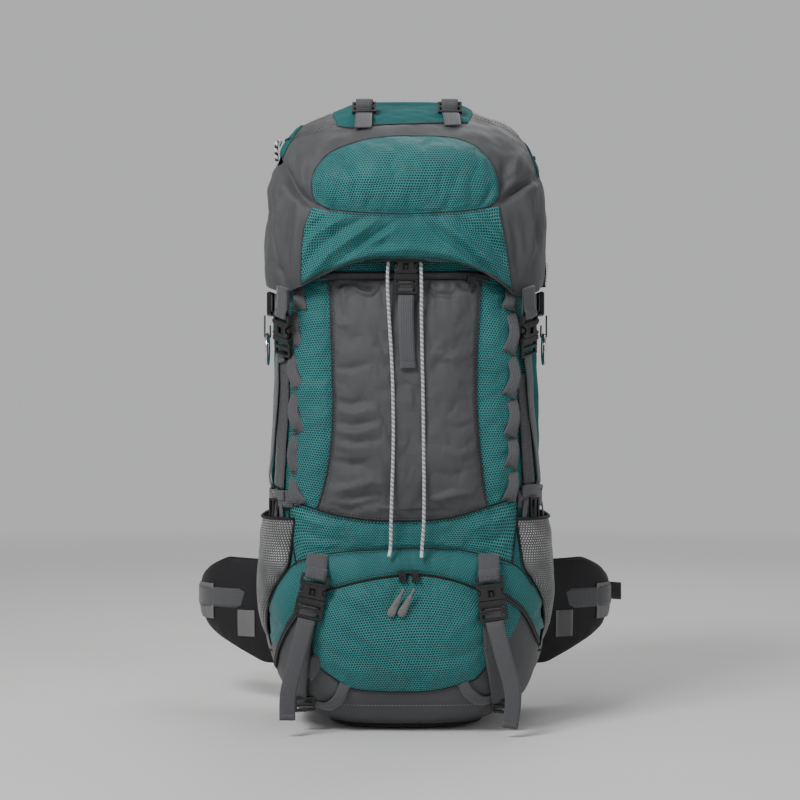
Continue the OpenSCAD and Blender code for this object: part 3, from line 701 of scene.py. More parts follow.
def resample(points, n):
    p = curve_mm(points, 1.0)
    run = np.concatenate([[0], np.cumsum(np.linalg.norm(np.diff(p, axis=0), axis=1))])
    at = np.linspace(0, run[-1], n)
    return np.stack([np.interp(at, run, p[:, 0]), np.interp(at, run, p[:, 1])], 1)


def coons(left, right, bottom, top, step=2.6):
    """Patch of (x, z) points between four border curves that share their corners."""
    length = lambda c: np.linalg.norm(np.diff(resample(c, 40), axis=0), axis=1).sum()
    nu = int(max(length(bottom), length(top)) / step) + 2
    nv = int(max(length(left), length(right)) / step) + 2
    b, t = resample(bottom, nu), resample(top, nu)
    l, r = resample(left, nv), resample(right, nv)
    u = np.linspace(0, 1, nu)[None, :, None]
    v = np.linspace(0, 1, nv)[:, None, None]
    edge = (1 - v) * b[None] + v * t[None] + (1 - u) * l[:, None] + u * r[:, None]
    corner = ((1 - u) * (1 - v) * b[0] + u * (1 - v) * b[-1] + (1 - u) * v * t[0] + u * v * t[-1])
    return edge - corner


class Surface:
    """A base mesh that things are laid on as the camera sees them."""

    def __init__(self, *objs):
        verts, faces = [], []
        for obj in objs:
            base = len(verts)
            verts += [v.co.copy() for v in obj.data.vertices]
            faces += [tuple(base + i for i in p.vertices) for p in obj.data.polygons]
        self.tree = BVHTree.FromPolygons(verts, faces)

    def hit(self, x, z, lift=0.0, side=0.0):
        """Point and outward normal where the camera sees x, z (mm); past the outline, the nearest point."""
        way = (view_point(x, z, 0) - CAMERA).normalized()
        at, n, _, _ = self.tree.ray_cast(CAMERA, way)
        if at is None:
            at, n, _, _ = self.tree.find_nearest(view_point(x, z, side))
        if n.dot(way) > 0:
            n = -n
        return at + n * lift * MM, n

    def near(self, point, lift=0.0, out=None):
        at, n, _, _ = self.tree.find_nearest(point)
        if out is not None and n.dot(out) < 0:
            n = -n
        return at + n * lift * MM, n


def smooth_normals(n):
    for _ in range(3):
        n[1:-1] = (n[:-2] + 2 * n[1:-1] + n[2:]) / 4
        n[:, 1:-1] = (n[:, :-2] + 2 * n[:, 1:-1] + n[:, 2:]) / 4
    return n / np.linalg.norm(n, axis=2, keepdims=True)


def lay(surface, patch):
    """Grid and normals of a patch of seen points laid on a surface."""
    rows, cols = patch.shape[:2]
    p = np.zeros((rows, cols, 3))
    n = np.zeros((rows, cols, 3))
    for j in range(rows):
        for i in range(cols):
            p[j, i], n[j, i] = surface.hit(patch[j, i, 0], patch[j, i, 1])
    return p, smooth_normals(n)


def border_distance(patch):
    """Distance in mm of every patch point from the patch's border."""
    ring = np.concatenate([patch[0], patch[:, -1], patch[-1][::-1], patch[:, 0][::-1]])
    return near_line(patch, ring)[0]


def panel(name, surface, patch, mat, body, edge=0.6, crown=4.0, soft=9.0, shape=None, nodes=(),
          sim=None, laid=None):
    """A sewn fabric panel: its edges lie low on the surface and its middle stands up.

    laid gives its points and normals where the camera doesn't see them; sim holds the Cloth settings.
    """
    p, n = laid or lay(surface, patch)
    d = border_distance(patch)
    rise = edge + crown * (1 - np.exp(-(d / soft) ** 1.4))
    if shape is not None:
        rise = rise + shape(patch) * np.clip(d / 5, 0, 1)
    rise = np.maximum(rise, 0.5) + 0.25 * np.exp(-np.abs(rise - 0.5))
    p = p + n * (rise * MM)[..., None]
    obj = Grid(p).build(name, [mat])
    face_out(obj, n.reshape(-1, 3))
    if sim:
        pins = np.clip(1 - (d - 1.0) / 4, 0, 1).reshape(-1)
        cloth(obj, pins, **sim)
    subdivide(obj, 1)
    return finish_piece(obj, body, nodes)


def face_out(obj, normals):
    """Turns the faces so that they look the way the given vertex normals do."""
    poly = obj.data.polygons[len(obj.data.polygons) // 2]
    if poly.normal.dot(Vector(normals[poly.vertices[0]])) < 0:
        obj.data.flip_normals()


def subdivide(obj, levels):
    mod = obj.modifiers.new("round", "SUBSURF")
    mod.levels = levels
    mod.render_levels = levels
    apply_modifiers(obj)


def apply_modifiers(obj):
    depsgraph = bpy.context.evaluated_depsgraph_get()
    mesh = bpy.data.meshes.new_from_object(obj.evaluated_get(depsgraph), depsgraph=depsgraph)
    old = obj.data
    obj.modifiers.clear()
    obj.data = mesh
    bpy.data.meshes.remove(old)
    mesh.polygons.foreach_set("use_smooth", [True] * len(mesh.polygons))


def cloth(obj, pins, pressure=1.0, shrink=-0.03, frames=14, cap=6.0, stiff=12, seed=0.0):
    """Runs Cloth on a piece with pinned points, then applies it, with no point moving further than cap mm."""
    before = np.array([v.co for v in obj.data.vertices])
    pinned = obj.vertex_groups.new(name="pins")
    for i, w in enumerate(pins):
        if w > 0.01:
            pinned.add([i], float(w), "REPLACE")
    start = before.copy()
    free = 1 - np.asarray(pins)
    jolt = np.array([noise.noise(Vector(q) * 60 + Vector((seed, 0, 0))) for q in before])
    normals = np.array([v.normal for v in obj.data.vertices])
    start += normals * (jolt * free * 0.0006)[:, None]
    obj.data.vertices.foreach_set("co", start.ravel())
    mod = obj.modifiers.new("cloth", "CLOTH")
    s = mod.settings
    s.quality = 4
    s.mass = 0.25
    s.tension_stiffness = stiff
    s.compression_stiffness = stiff
    s.shear_stiffness = 4
    s.bending_stiffness = 0.12
    s.tension_damping = 8
    s.shear_damping = 8
    s.air_damping = 3
    s.effector_weights.gravity = 0
    s.vertex_group_mass = "pins"
    s.pin_stiffness = 1
    s.shrink_min = shrink
    if pressure:
        s.use_pressure = True
        s.uniform_pressure_force = pressure
    mod.collision_settings.use_collision = False
    mod.collision_settings.use_self_collision = False
    scene = bpy.context.scene
    mod.point_cache.frame_start = 1
    mod.point_cache.frame_end = frames + 1
    for f in range(1, frames + 1):
        scene.frame_set(f)
    apply_modifiers(obj)
    scene.frame_set(1)
    after = np.array([v.co for v in obj.data.vertices])
    move = after - before
    size = np.linalg.norm(move, axis=1, keepdims=True)
    limit = cap * MM
    move = np.where(size > 1e-9, move / np.maximum(size, 1e-9) * limit * np.tanh(size / limit), 0)
    obj.data.vertices.foreach_set("co", (before + move).ravel())
    obj.data.update()


def piping(name, surface, points, radius, mat, body, lift):
    """A round cord of fabric along a seam, as seen from the front."""
    line = curve_mm(points, 3.0)
    path = settle([surface.hit(x, z, lift)[0] for x, z in line], 2)
    return finish_piece(tube(name, path, radius * MM, mat, sides=8), body)


def settle(path, rounds):
    """Rounds a path off a little."""
    p = [q.copy() for q in path]
    for _ in range(rounds):
        p = [p[0]] + [(p[i - 1] + 2 * p[i] + p[i + 1]) / 4 for i in range(1, len(p) - 1)] + [p[-1]]
    return p


def stitch_row(path, normals, out, length=0.0026, gap=0.0014, size=0.00055, lift=0.0004):
    """Adds one raised thread loop per stitch along a path to the lists in out."""
    run = 0.0
    verts, faces = out
    dist = [0.0]
    for i in range(1, len(path)):
        dist.append(dist[-1] + (path[i] - path[i - 1]).length)
    at = lambda s: next_point(path, dist, s)
    while run + length < dist[-1]:
        a, i = at(run)
        b, _ = at(run + length)
        n = normals[min(i, len(normals) - 1)]
        d = (b - a).normalized()
        w = d.cross(n).normalized()
        mid = (a + b) / 2
        base = len(verts)
        for centre, k, h in ((a, 0.4, 0.1), (mid, 1.0, 1.0), (b, 0.4, 0.1)):
            c = centre + n * (lift + size * (h - 0.6))
            verts += [c - w * size * k, c + n * size * 0.9 * k, c + w * size * k, c - n * size * 0.6 * k]
        for r in range(2):
            for k in range(4):
                p, q = base + r * 4 + k, base + r * 4 + (k + 1) % 4
                faces.append((p, q, q + 4, p + 4))
        faces += [(base + 3, base + 2, base + 1, base), (base + 8, base + 9, base + 10, base + 11)]
        run += length + gap


def next_point(path, dist, s):
    i = int(np.searchsorted(dist, s)) - 1
    i = min(max(i, 0), len(path) - 2)
    k = (s - dist[i]) / max(dist[i + 1] - dist[i], 1e-9)
    return path[i].lerp(path[i + 1], k), i


def stitches(name, rows, mat, body, **kw):
    """rows is a list of (path, normals)."""
    out = ([], [])
    for path, normals in rows:
        stitch_row(path, normals, out, **kw)
    obj = add_object(name, out[0], out[1], [mat], smooth=False)
    mend(obj)
    return finish_piece(obj, body)


def seen_row(surface, points, lift, rounds=1, soften=0):
    """Points and normals of a line on a surface, lift mm off it."""
    hits = [surface.hit(x, z, lift) for x, z in curve_mm(points, 3.0)]
    return settle([h[0] for h in hits], rounds), settle([h[1] for h in hits], soften)


# ------------------------------------------------------------------ the body's skin
def make_body_skin():
    """The closed skin of the bag, with a material for each part of its cloth."""
    columns = 176
    t = even_angles(body_section(300), columns)
    levels = list(np.concatenate([np.linspace(0, 60, 13), np.linspace(66, 578, 84)]))
    rows = []
    for k in (0.0, 0.25, 0.5, 0.75):
        x, y = on_section(body_section(0.0), t)
        rows.append(np.stack([x * k, 12 + (y - 12) * k, np.full_like(x, 0.4)], 1))
    for z in levels:
        x, y = on_section(body_section(z), t)
        rows.append(np.stack([x, y, np.full_like(x, z)], 1))
    grid = Grid(np.array(rows) * MM)
    p = grid.p
    z = p[..., 2] / MM
    wave = rumple(p, 0.055, 3.1) * 1.5 + rumple(p * np.array([1, 1, 0.5]), 0.022, 7.7) * 0.6
    grip = np.clip((z - 6) / 30, 0, 1) * np.clip((575 - z) / 20, 0, 1)
    side = np.clip((np.abs(t)[None, :] - 50) / 20, 0, 1) * np.clip((118 - np.abs(t)[None, :]) / 15, 0, 1)
    belt = np.zeros_like(z)
    for level in (HIGH_STRAP, LOW_STRAP):
        belt -= 3.0 * np.exp(-((z - level) / 14) ** 2) * side
        belt += 1.6 * np.exp(-((np.abs(z - level) - 24) / 12) ** 2) * side
    seam = -1.6 * np.exp(-((z - 198) / 4) ** 2)
    rise = (wave * grip - 0.6 + belt * grip + seam) * MM
    looks_in = grid.normals()[40, columns // 2][1] > 0
    grid.lift(-rise if looks_in else rise)
    angle = (t[:-1] + t[1:]) / 2

    def pick(v, u):
        a = abs(angle[min(int(u * columns), columns - 1)])
        high = v * (len(rows) - 1) - 4
        z = float(levels[min(max(int(high), 0), len(levels) - 1)])
        reach = abs(float(p[int(v * (len(rows) - 1)), min(int(u * columns), columns - 1), 0])) / MM
        hood = reach > np.interp(z, [60, 80, 105, 132, 150], [170, 165, 157, 141, 118])
        if 140 < z < 196 and 30 < a < 100 or 60 < z <= 140 and hood and a < 100 or z >= 196 and 30 < a < 60:
            return 3
        if high < 9:
            return 0
        if 58 < a < 112 and high > 34:
            return 1
        return 2 if a >= 112 else 0

    obj = grid.build("bag_shell", [MAT["grey"], MAT["ripstop"], MAT["grey"], MAT["hood"]], pick)
    turn_outward(obj, BAG_CENTRE)
    return obj


def turn_outward(obj, centre):
    """Flips a closed or nearly closed skin so that its faces look away from centre."""
    total = 0.0
    for poly in obj.data.polygons:
        total += poly.area * poly.normal.dot(poly.center - centre)
    if total < 0:
        obj.data.flip_normals()


body_skin = make_body_skin()
FRONT = Surface(body_skin)
subdivide(body_skin, 1)
finish_piece(body_skin, "pack", ["main_bag", "bottom_compartment", "base_panel"])

# ------------------------------------------------------------------ the lid's skin
FOOT_LEFT = smooth_keys([(0, 548), (12, 546), (24, 533), (37, 520), (50, 514), (64, 517), (80, 525), (100, 528),
                         (125, 545), (140, 568), (180, 574)], 9)
FOOT_RIGHT = smooth_keys([(0, 548), (12, 546), (24, 534), (33, 522), (41, 509), (50, 508), (64, 515), (80, 525),
                          (100, 528), (125, 545), (140, 568), (180, 574)], 9)


def skirt_foot(t):
    return np.where(t < 0, FOOT_LEFT(np.abs(t)), FOOT_RIGHT(np.abs(t)))


def make_lid_skin():
    """The skin of the lid: its skirt from the wavy foot up, the filled pocket and the crown."""
    columns = 250
    t = even_angles(lid_section(LID_CREASE), columns)
    foot = skirt_foot(t)
    rows = []
    for k in np.linspace(0, 1, 40):
        z = foot + (LID_CREASE - foot) * k
        x, y = on_section(lid_section(z), t)
        rows.append(np.stack([x, y, z], 1))
    for z in np.concatenate([np.arange(643, 735, 3.5), [738, 742, 746, 749]]):
        x, y = on_section(lid_section(z), t)
        rows.append(np.stack([x, y, np.full_like(x, z)], 1))
    x, y = on_section(lid_section(750), t)
    for k, z in ((0.9, 752.5), (0.75, 754.5), (0.55, 755.5), (0.3, 756), (0.02, 756)):
        rows.append(np.stack([x * k, 62 + (y - 62) * k, np.full_like(x, z)], 1))
    p = np.array(rows) * MM
    grid = Grid(p)
    seen = seen_at(grid.p.reshape(-1, 3)).reshape(p.shape[:2] + (2,))
    front = np.clip((20 - p[..., 1] / MM) / 40, 0, 1)
    z = p[..., 2] / MM
    h = rumple(p * np.array([1, 1, 0.4]), 0.045, 1.7) * 2.6 + rumple(p * np.array([1, 1, 0.5]), 0.02, 5.3) * 1.2
    h *= np.clip((756 - z) / 12, 0, 1)
    # the crease where the filled pocket sits on the hood, and the folds of the wings
    for line, width, height in LID_FOLDS:
        h += fold(seen, line, width, height) * front
    # round the sides and the back the crease runs on level
    level = LID_CREASE + 12 * np.clip(p[..., 1] / MM / 100, -0.5, 1)
    behind = 1 - front
    h += (-6.0 * np.exp(-((z - level) / 7) ** 2) * behind
          + 3.0 * np.exp(-((z - level - 26) / 18) ** 2) * behind)
    hem = z - foot[None, :]
    h += -2.0 * np.exp(-(hem / 8) ** 2)
    grid.p = grid.p + outward(grid, LID_CENTRE) * (h * MM)[..., None]
    obj = grid.build("lid_shell", [MAT["grey"]])
    turn_outward(obj, LID_CENTRE)
    return obj


def outward(grid, centre):
    n = grid.normals()
    away = grid.p - np.array(centre)
    sign = np.sign((n * away).sum(axis=2).mean())
    return n * sign


# creases in the lid's cloth: the line, its width and its height in mm; a negative height is a groove
LID_FOLDS = [
    ([(-168, 693), (-154, 678), (-137, 645), (-121, 631), (-104, 624)], 5, -9),
    ([(164, 661), (149, 654), (131, 640), (113, 627)], 5, -8),
    ([(-144, 661), (-154, 637), (-158, 600), (-153, 556)], 3.6, 4.2),
    ([(-149, 649), (-160, 624), (-164, 593)], 3.4, -3.6),
    ([(-137, 637), (-142, 605), (-144, 571), (-142, 540)], 3.4, -4),
    ([(-163, 644), (-168, 614), (-165, 577)], 4, -3.5),
    ([(-129, 626), (-132, 589), (-133, 556), (-130, 528)], 5, 3),
    ([(-165, 561), (-153, 544), (-148, 520)], 4, -4),
    ([(142, 639), (152, 607), (154, 573), (147, 546)], 3.8, 4.4),
    ([(149, 644), (159, 612), (159, 576)], 3.2, -3.4), ([(130, 614), (135, 577), (138, 540)], 4, -3.5),
    ([(159, 644), (164, 614), (162, 583)], 4, -3), ([(120, 656), (132, 668), (137, 690)], 3.6, 3.6),
    ([(114, 637), (121, 659), (120, 683)], 3, -3.2), ([(119, 642), (127, 661), (126, 683)], 4, -3.5),
    ([(-131, 659), (-136, 681), (-133, 698)], 5, -3), ([(-123, 644), (-125, 666), (-119, 683)], 5, 3.5),
    ([(-114, 681), (-97, 698), (-73, 709)], 5, 2.5), ([(-68, 713), (-31, 718), (18, 720), (60, 716)], 5, 2),
]
lid_skin = make_lid_skin()
LID = Surface(lid_skin)
subdivide(lid_skin, 1)
finish_piece(lid_skin, "lid", ["lid_pocket", "lid_skirt"])

OVAL_LEFT = [(-93, 621), (-108, 629), (-114, 644), (-113, 661), (-105, 676), (-92, 689)]
OVAL_TOP = [(-92, 689), (-69, 699), (-43, 706), (-13, 709), (18, 709), (48, 708), (66, 705), (85, 697)]
OVAL_RIGHT = [(99, 623), (112, 632), (114, 648), (110, 665), (101, 682), (85, 697)]
OVAL_FOOT = [(-93, 621), (-68, 618), (-31, 616), (4, 615), (42, 617), (73, 619), (99, 623)]
FLAP_LEFT = [(-127, 525), (-127, 556), (-125, 589), (-119, 609), (-113, 622)]
FLAP_RIGHT = [(131, 514), (127, 540), (123, 571), (118, 598), (113, 624)]
FLAP_FOOT = [(-127, 525), (-108, 534), (-90, 544), (-55, 556), (-23, 559), (4, 559), (32, 557), (54, 554),
    (76, 546), (98, 536), (115, 525), (131, 514)]
FLAP_TOP = [(-113, 622), (-93, 618), (-68, 616), (-31, 614), (4, 614), (42, 615), (73, 617), (99, 621),
            (113, 624)]


def oval_shape(seen):
    h = 9.0 * np.exp(-((seen[..., 0] / 95) ** 2 + ((seen[..., 1] - 662) / 32) ** 2))
    for line, width, height in (
            ([(-107, 650), (-102, 637), (-97, 623)], 3.5, -2.5), ([(-97, 656), (-93, 638), (-88, 622)], 3.5, 2),
            ([(105, 654), (101, 638), (91, 623)], 4, -2.5), ([(-41, 637), (-46, 626), (-48, 617)], 4, -1.6),
            ([(3, 646), (5, 632), (7, 617)], 5, -1.6), ([(52, 637), (51, 624), (49, 617)], 4, -1.4),
            ([(18, 690), (26, 696), (32, 705)], 3.5, -1.8), ([(-80, 683), (-65, 668), (-58, 654)], 6, -1.6)):
        h += fold(seen, line, width, height)
    return h


def flap_shape(seen):
    h = np.zeros(seen.shape[:-1])
    for line, width, height in (
            ([(-123, 532), (-92, 565), (-58, 590), (-29, 611)], 4.5, 3.6),
            ([(-119, 526), (-82, 556), (-41, 585), (-7, 610)], 4, -3.2),
            ([(-126, 549), (-102, 576), (-73, 598), (-48, 611)], 4, -3.0),
            ([(-125, 566), (-107, 588), (-82, 605), (-68, 614)], 4, 3.0),
            ([(-126, 583), (-114, 598), (-97, 612)], 3.5, -2.6),
            ([(-102, 539), (-68, 565), (-26, 588), (-2, 600)], 5, 2.8),
            ([(129, 522), (103, 556), (69, 585), (40, 610)], 4.5, 3.6),
            ([(123, 525), (88, 556), (54, 583), (20, 610)], 4, -3.0),
            ([(126, 549), (105, 577), (81, 598), (62, 612)], 4, -3.2),
            ([(123, 571), (108, 590), (91, 605), (79, 615)], 4, 2.8),
            ([(118, 593), (108, 605), (98, 617)], 3.5, -2.4), ([(101, 539), (66, 568), (32, 588)], 5, 2.6),
            ([(-92, 549), (-41, 568), (5, 573), (54, 566), (91, 549)], 5, 3.2)):
        h += fold(seen, line, width, height, 0.3)
    return h


SOFT = dict(pressure=0.8, shrink=-0.025, frames=12, cap=4)
panel("lid_front_oval", LID, coons(OVAL_LEFT, OVAL_RIGHT, OVAL_FOOT, OVAL_TOP), MAT["teal"], "lid",
      edge=0.8, crown=4.5, soft=10, shape=oval_shape, sim=SOFT)
panel("lid_flap", LID, coons(FLAP_LEFT, FLAP_RIGHT, FLAP_FOOT, FLAP_TOP), MAT["teal"], "lid",
      edge=1.6, crown=2.4, soft=8, shape=flap_shape, sim=dict(SOFT, cap=3))
YOKE = [(-82, 721), (-62, 720), (-41, 723), (-1, 724), (46, 726), (76, 726)]


def lid_crown_panel():
    """The panel over the lid's crown, from the yoke seam back past the middle; laid from above."""
    seam = [LID.hit(x, z)[0] for x, z in curve_mm(YOKE, 2.6)]
    reach = np.linspace(0, 1, 52)
    p = np.zeros((len(reach), len(seam), 3))
    n = np.zeros_like(p)
    for j, k in enumerate(reach):
        for i, q in enumerate(seam):
            x = q.x + 0.008 * math.copysign(min(1, k / 0.35) * min(1, abs(q.x) / 0.06), q.x)
            above = Vector((x, q.y + (0.088 - q.y) * k, 0.9))
            p[j, i], n[j, i] = LID.tree.ray_cast(above, Vector((0, 0, -1)))[:2]
    plan = p[..., :2] / MM
    panel("lid_top_panel", LID, plan, MAT["ripstop"], "lid", edge=1.0, crown=1.8, soft=8,
          laid=(p, smooth_normals(n)))


def lid_gusset(name, sign, front, low, high):
    """The teal side of the lid pocket that its zip is sewn into."""
    turns, levels = np.linspace(front, 134, 44), np.linspace(low, high, 20)
    p = np.zeros((len(levels), len(turns), 3))
    n = np.zeros_like(p)
    for j, z in enumerate(levels):
        for i, t in enumerate(turns):
            out = on_lid(sign * t, float(z), 10) - on_lid(sign * t, float(z), 0)
            p[j, i], n[j, i] = LID.near(on_lid(sign * t, float(z), 4), 0, out)
    flat = np.stack([np.broadcast_to(turns * 2.4, p.shape[:2]), np.broadcast_to(levels[:, None], p.shape[:2])],
                    2)
    panel(name, LID, flat, MAT["ripstop"], "lid", edge=0.5, crown=1.2, soft=6,
          laid=(p, smooth_normals(n)))
    line = [LID.near(on_lid(sign * t, (low + high) / 2 + 2, 4), 2.2)[0]
            for t in np.linspace(front + 3, 131, 40)]
    finish_piece(tube(name + "_zip", settle(line, 3), 0.0016, MAT["zip"], sides=8), "lid")


lid_crown_panel()
lid_gusset("lid_gusset_left", -1, 66, 678, 722)
lid_gusset("lid_gusset_right", 1, 76, 656, 700)


def ring_line(points):
    """Joins border curves into one line of (x, z) points."""
    out = []
    for part in points:
        out += [tuple(q) for q in part]
    return out


piping("lid_oval_piping", LID, ring_line([OVAL_LEFT, OVAL_TOP[1:], OVAL_RIGHT[::-1][1:]]),
    0.9, MAT["piping"], "lid", lift=1.0)
piping("lid_flap_edge", LID, FLAP_FOOT, 1.5, MAT["binding"], "lid", lift=1.4)
for tag, line in (("left", FLAP_LEFT), ("right", FLAP_RIGHT)):
    piping("lid_flap_side_" + tag, LID, line, 0.9, MAT["piping"], "lid", lift=1.2)
SEAM_LEFT = [(-149, 693), (-140, 705), (-110, 713), (-83, 721)]
SEAM_RIGHT = [(84, 731), (103, 724), (125, 716), (142, 703)]
piping("lid_yoke_seam", LID, [(-82, 721), (-62, 719), (-41, 722), (-1, 724), (46, 725),
    (76, 725)], 0.8, MAT["piping"], "lid", lift=0.9)
stitches("lid_seam_thread", [seen_row(LID, [(x, z - 3.0) for x, z in OVAL_FOOT], 2.6)], MAT["thread"], "lid",
         size=0.0005)
rows = [seen_row(LID, line, 0.8) for line in (SEAM_LEFT, SEAM_RIGHT)]
rows += [seen_row(LID, [(x, z + 3) for x, z in line], 0.8) for line in (SEAM_LEFT, SEAM_RIGHT)]
rows += [seen_row(LID, [(x, z + 4) for x, z in FLAP_FOOT], 3.2)]
stitches("lid_top_thread", rows, MAT["thread"], "lid")


# ------------------------------------------------------------------ front panels of the bag
def pucker(seen, line, step, depth, reach):
    """Short gathers that run away from a line, step mm apart."""
    d, k = near_line(seen, line)
    length = np.linalg.norm(np.diff(np.array(line, dtype=float), axis=0), axis=1).sum()
    s = k * length
    wobble = 0.7 * np.sin(s / 11.0) + 0.5 * np.sin(s / 4.3 + 2)
    wave = np.sin(2 * np.pi * s / step + wobble * 1.6) * (0.6 + 0.4 * np.sin(s / 17.0 + 1))
    return depth * wave * np.exp(-d / reach)


POCKET_TOP = [(-93, 533), (-68, 534), (-31, 534), (-1, 534), (42, 534), (92, 533)]
POCKET_LEFT = [(-107, 255), (-97, 290), (-91, 327), (-88, 376), (-89, 425), (-90, 473), (-93, 533)]
POCKET_RIGHT = [(99, 258), (94, 290), (90, 327), (86, 376), (86, 425), (88, 486), (92, 533)]
POCKET_FOOT = [(-107, 255), (-83, 248), (-41, 242), (7, 241), (54, 245), (99, 258)]
SIDE_TOP_LEFT = [(-140, 521), (-114, 529), (-93, 533)]
SIDE_LEFT = [(-143, 265), (-141, 303), (-140, 351), (-140, 412), (-140, 473), (-140, 521)]
SIDE_TOP_RIGHT = [(92, 533), (115, 526), (138, 514)]
SIDE_RIGHT = [(137, 269), (136, 315), (137, 364), (137, 425), (137, 473), (138, 514)]
LOWER_LEFT = [(-132, 186), (-136, 211), (-140, 242), (-141, 265)]
LOWER_RIGHT = [(129, 187), (132, 217), (135, 244), (135, 269)]
LOWER_TOP = [(-141, 265), (-123, 260), (-107, 255), (-83, 248), (-41, 242), (7, 241), (54, 245), (99, 258),
    (118, 264), (135, 269)]
LOWER_FOOT = [(-132, 186), (-121, 194), (-88, 201), (-41, 205), (7, 207), (54, 206), (90, 200), (129, 187)]


def pocket_shape(seen):
    x, z = seen[..., 0], seen[..., 1]
    h = 6.0 * np.exp(-(x / 95) ** 4) * np.clip((z - 255) / 60, 0, 1) ** 0.5 * np.clip((536 - z) / 90, 0.15, 1)
    h += pucker(seen, POCKET_TOP, 17, 2.6, 13)
    for line, width, height in (
            ([(-64, 527), (-54, 518), (-42, 516), (-32, 525)], 2.6, 3.6),
            ([(-59, 529), (-51, 523), (-42, 522), (-36, 529)], 2.6, -4.0),
            ([(-85, 525), (-76, 529), (-68, 531)], 2.6, -3.2), ([(79, 522), (84, 528), (88, 531)], 2.6, -3.0),
            ([(24, 529), (35, 516), (57, 515), (69, 529)], 3.5, -3.0),
            ([(60, 532), (74, 522), (88, 525)], 3.5, -2.6),
            ([(-98, 278), (-68, 282), (-41, 289), (-16, 287)], 6, 2.4),
            ([(-92, 266), (-60, 269), (-26, 272)], 4.5, -2.2), ([(24, 266), (54, 273), (84, 276)], 5, 2.0),
            ([(-82, 303), (-55, 308), (-31, 305)], 6, -1.6), ([(-87, 339), (-65, 332), (-41, 337)], 6, 1.4),
            ([(30, 303), (57, 298), (84, 305)], 6, -1.6), ([(-85, 427), (-65, 426), (-41, 432)], 5, -1.5),
            ([(30, 445), (57, 439), (84, 448)], 6, 1.3), ([(-87, 386), (-65, 383), (-36, 388)], 5, -1.6),
            ([(-87, 362), (-63, 358), (-31, 364)], 5, -2.0), ([(-87, 339), (-60, 336), (-26, 342)], 5, -2.2),
            ([(-90, 314), (-65, 311), (-34, 317)], 5, -2.0), ([(-85, 375), (-60, 372), (-31, 377)], 5, 1.6),
            ([(-87, 350), (-60, 348), (-31, 354)], 5, 1.8), ([(-92, 267), (-65, 264), (-31, 270)], 4.5, 2.0),
            ([(42, 358), (64, 354), (86, 361)], 5, -1.6), ([(42, 327), (64, 323), (88, 331)], 6, 1.6),
            ([(-65, 251), (-31, 255), (-1, 254)], 4, 1.4)):
        h += fold(seen, line, width, height)
    return h


def side_shape(seen):
    z = seen[..., 1]
    return 1.2 * np.sin(z / 9.0 + 2 * np.sin(z / 31.0)) * np.exp(-((seen[..., 0] % 40 - 20) / 30) ** 2)


def lower_shape(seen):
    h = 2.5 * np.exp(-(seen[..., 0] / 90) ** 2)
    for line, width, height in (
            ([(-133, 251), (-107, 239), (-74, 233)], 5, 2.2), ([(-131, 230), (-102, 220), (-65, 217)], 5, -1.8),
            ([(130, 254), (105, 239), (74, 232)], 5, 2.2), ([(130, 227), (103, 217), (69, 216)], 5, -1.8),
            ([(-31, 237), (3, 233), (42, 237)], 4, -1.2)):
        h += fold(seen, line, width, height)
    return h


panel("front_pocket_panel", FRONT, coons(POCKET_LEFT, POCKET_RIGHT, POCKET_FOOT, POCKET_TOP), MAT["grey"],
      "pack", edge=2.2, crown=5.0, soft=11, shape=pocket_shape, nodes=["front_pocket"],
      sim=dict(SOFT, cap=2.6))
panel("front_pocket_side_left", FRONT,
      coons(SIDE_LEFT, POCKET_LEFT, [(-143, 265), (-123, 260), (-107, 255)], SIDE_TOP_LEFT), MAT["teal"],
      "pack", edge=1.2, crown=3.0, soft=7, shape=side_shape, sim=dict(SOFT, cap=3))
panel("front_pocket_side_right", FRONT,
      coons(POCKET_RIGHT, SIDE_RIGHT, [(99, 258), (118, 264), (137, 269)], SIDE_TOP_RIGHT), MAT["teal"], "pack",
      edge=1.2, crown=3.0, soft=7, shape=side_shape, sim=dict(SOFT, cap=3))
panel("lower_front", FRONT, coons(LOWER_LEFT, LOWER_RIGHT, LOWER_FOOT, LOWER_TOP), MAT["teal"], "pack",
      edge=1.0, crown=3.5, soft=8, shape=lower_shape, nodes=["lower_front_panel"], sim=SOFT)
panel("pocket_throat", FRONT, coons([(-107, 533), (-109, 549), (-107, 564)],
                                    [(112, 528), (115, 546), (113, 564)],
                                    [(-107, 533), (-68, 535), (-1, 537), (66, 535), (112, 528)],
                                    [(-107, 564), (-1, 568), (113, 564)]), MAT["teal"], "pack", edge=0.8,
      crown=2.2, soft=6, shape=lambda s: pucker(s, POCKET_TOP, 13, 1.0, 9))


def zip_tape(name, points, width, lift, nodes=()):
    """A flat zip laid on the bag along a line as the camera sees it."""
    path, normals = seen_row(FRONT, points, lift, rounds=2, soften=4)
    return finish_piece(band(name, path, normals, width * MM, MAT["zip"], 0.0014), "pack", nodes)


ZIP_LINE = [(-102, 539), (-74, 539), (-37, 539), (-1, 539), (42, 539), (79, 539), (101, 535)]
zip_tape("front_zip_tape", ZIP_LINE, 9, 5.2, ["front_zip"])
for name, line, radius, mat, lift in (
        ("pocket_seam_left", POCKET_LEFT, 1.0, "piping", 2.8),
        ("pocket_seam_right", POCKET_RIGHT, 1.0, "piping", 2.8),
        ("pocket_seam_foot", POCKET_FOOT, 1.0, "binding", 2.2),
        ("lower_seam_left", LOWER_LEFT, 1.1, "binding", 1.6),
        ("lower_seam_right", LOWER_RIGHT, 1.1, "binding", 1.6),
        ("lower_seam_top_left", LOWER_TOP[:3], 1.1, "binding", 1.8),
        ("lower_seam_top_right", LOWER_TOP[-3:], 1.1, "binding", 1.8)):
    piping(name, FRONT, line, radius, MAT[mat], "pack", lift)
inset = lambda line, d: [(x + d, z) for x, z in line]
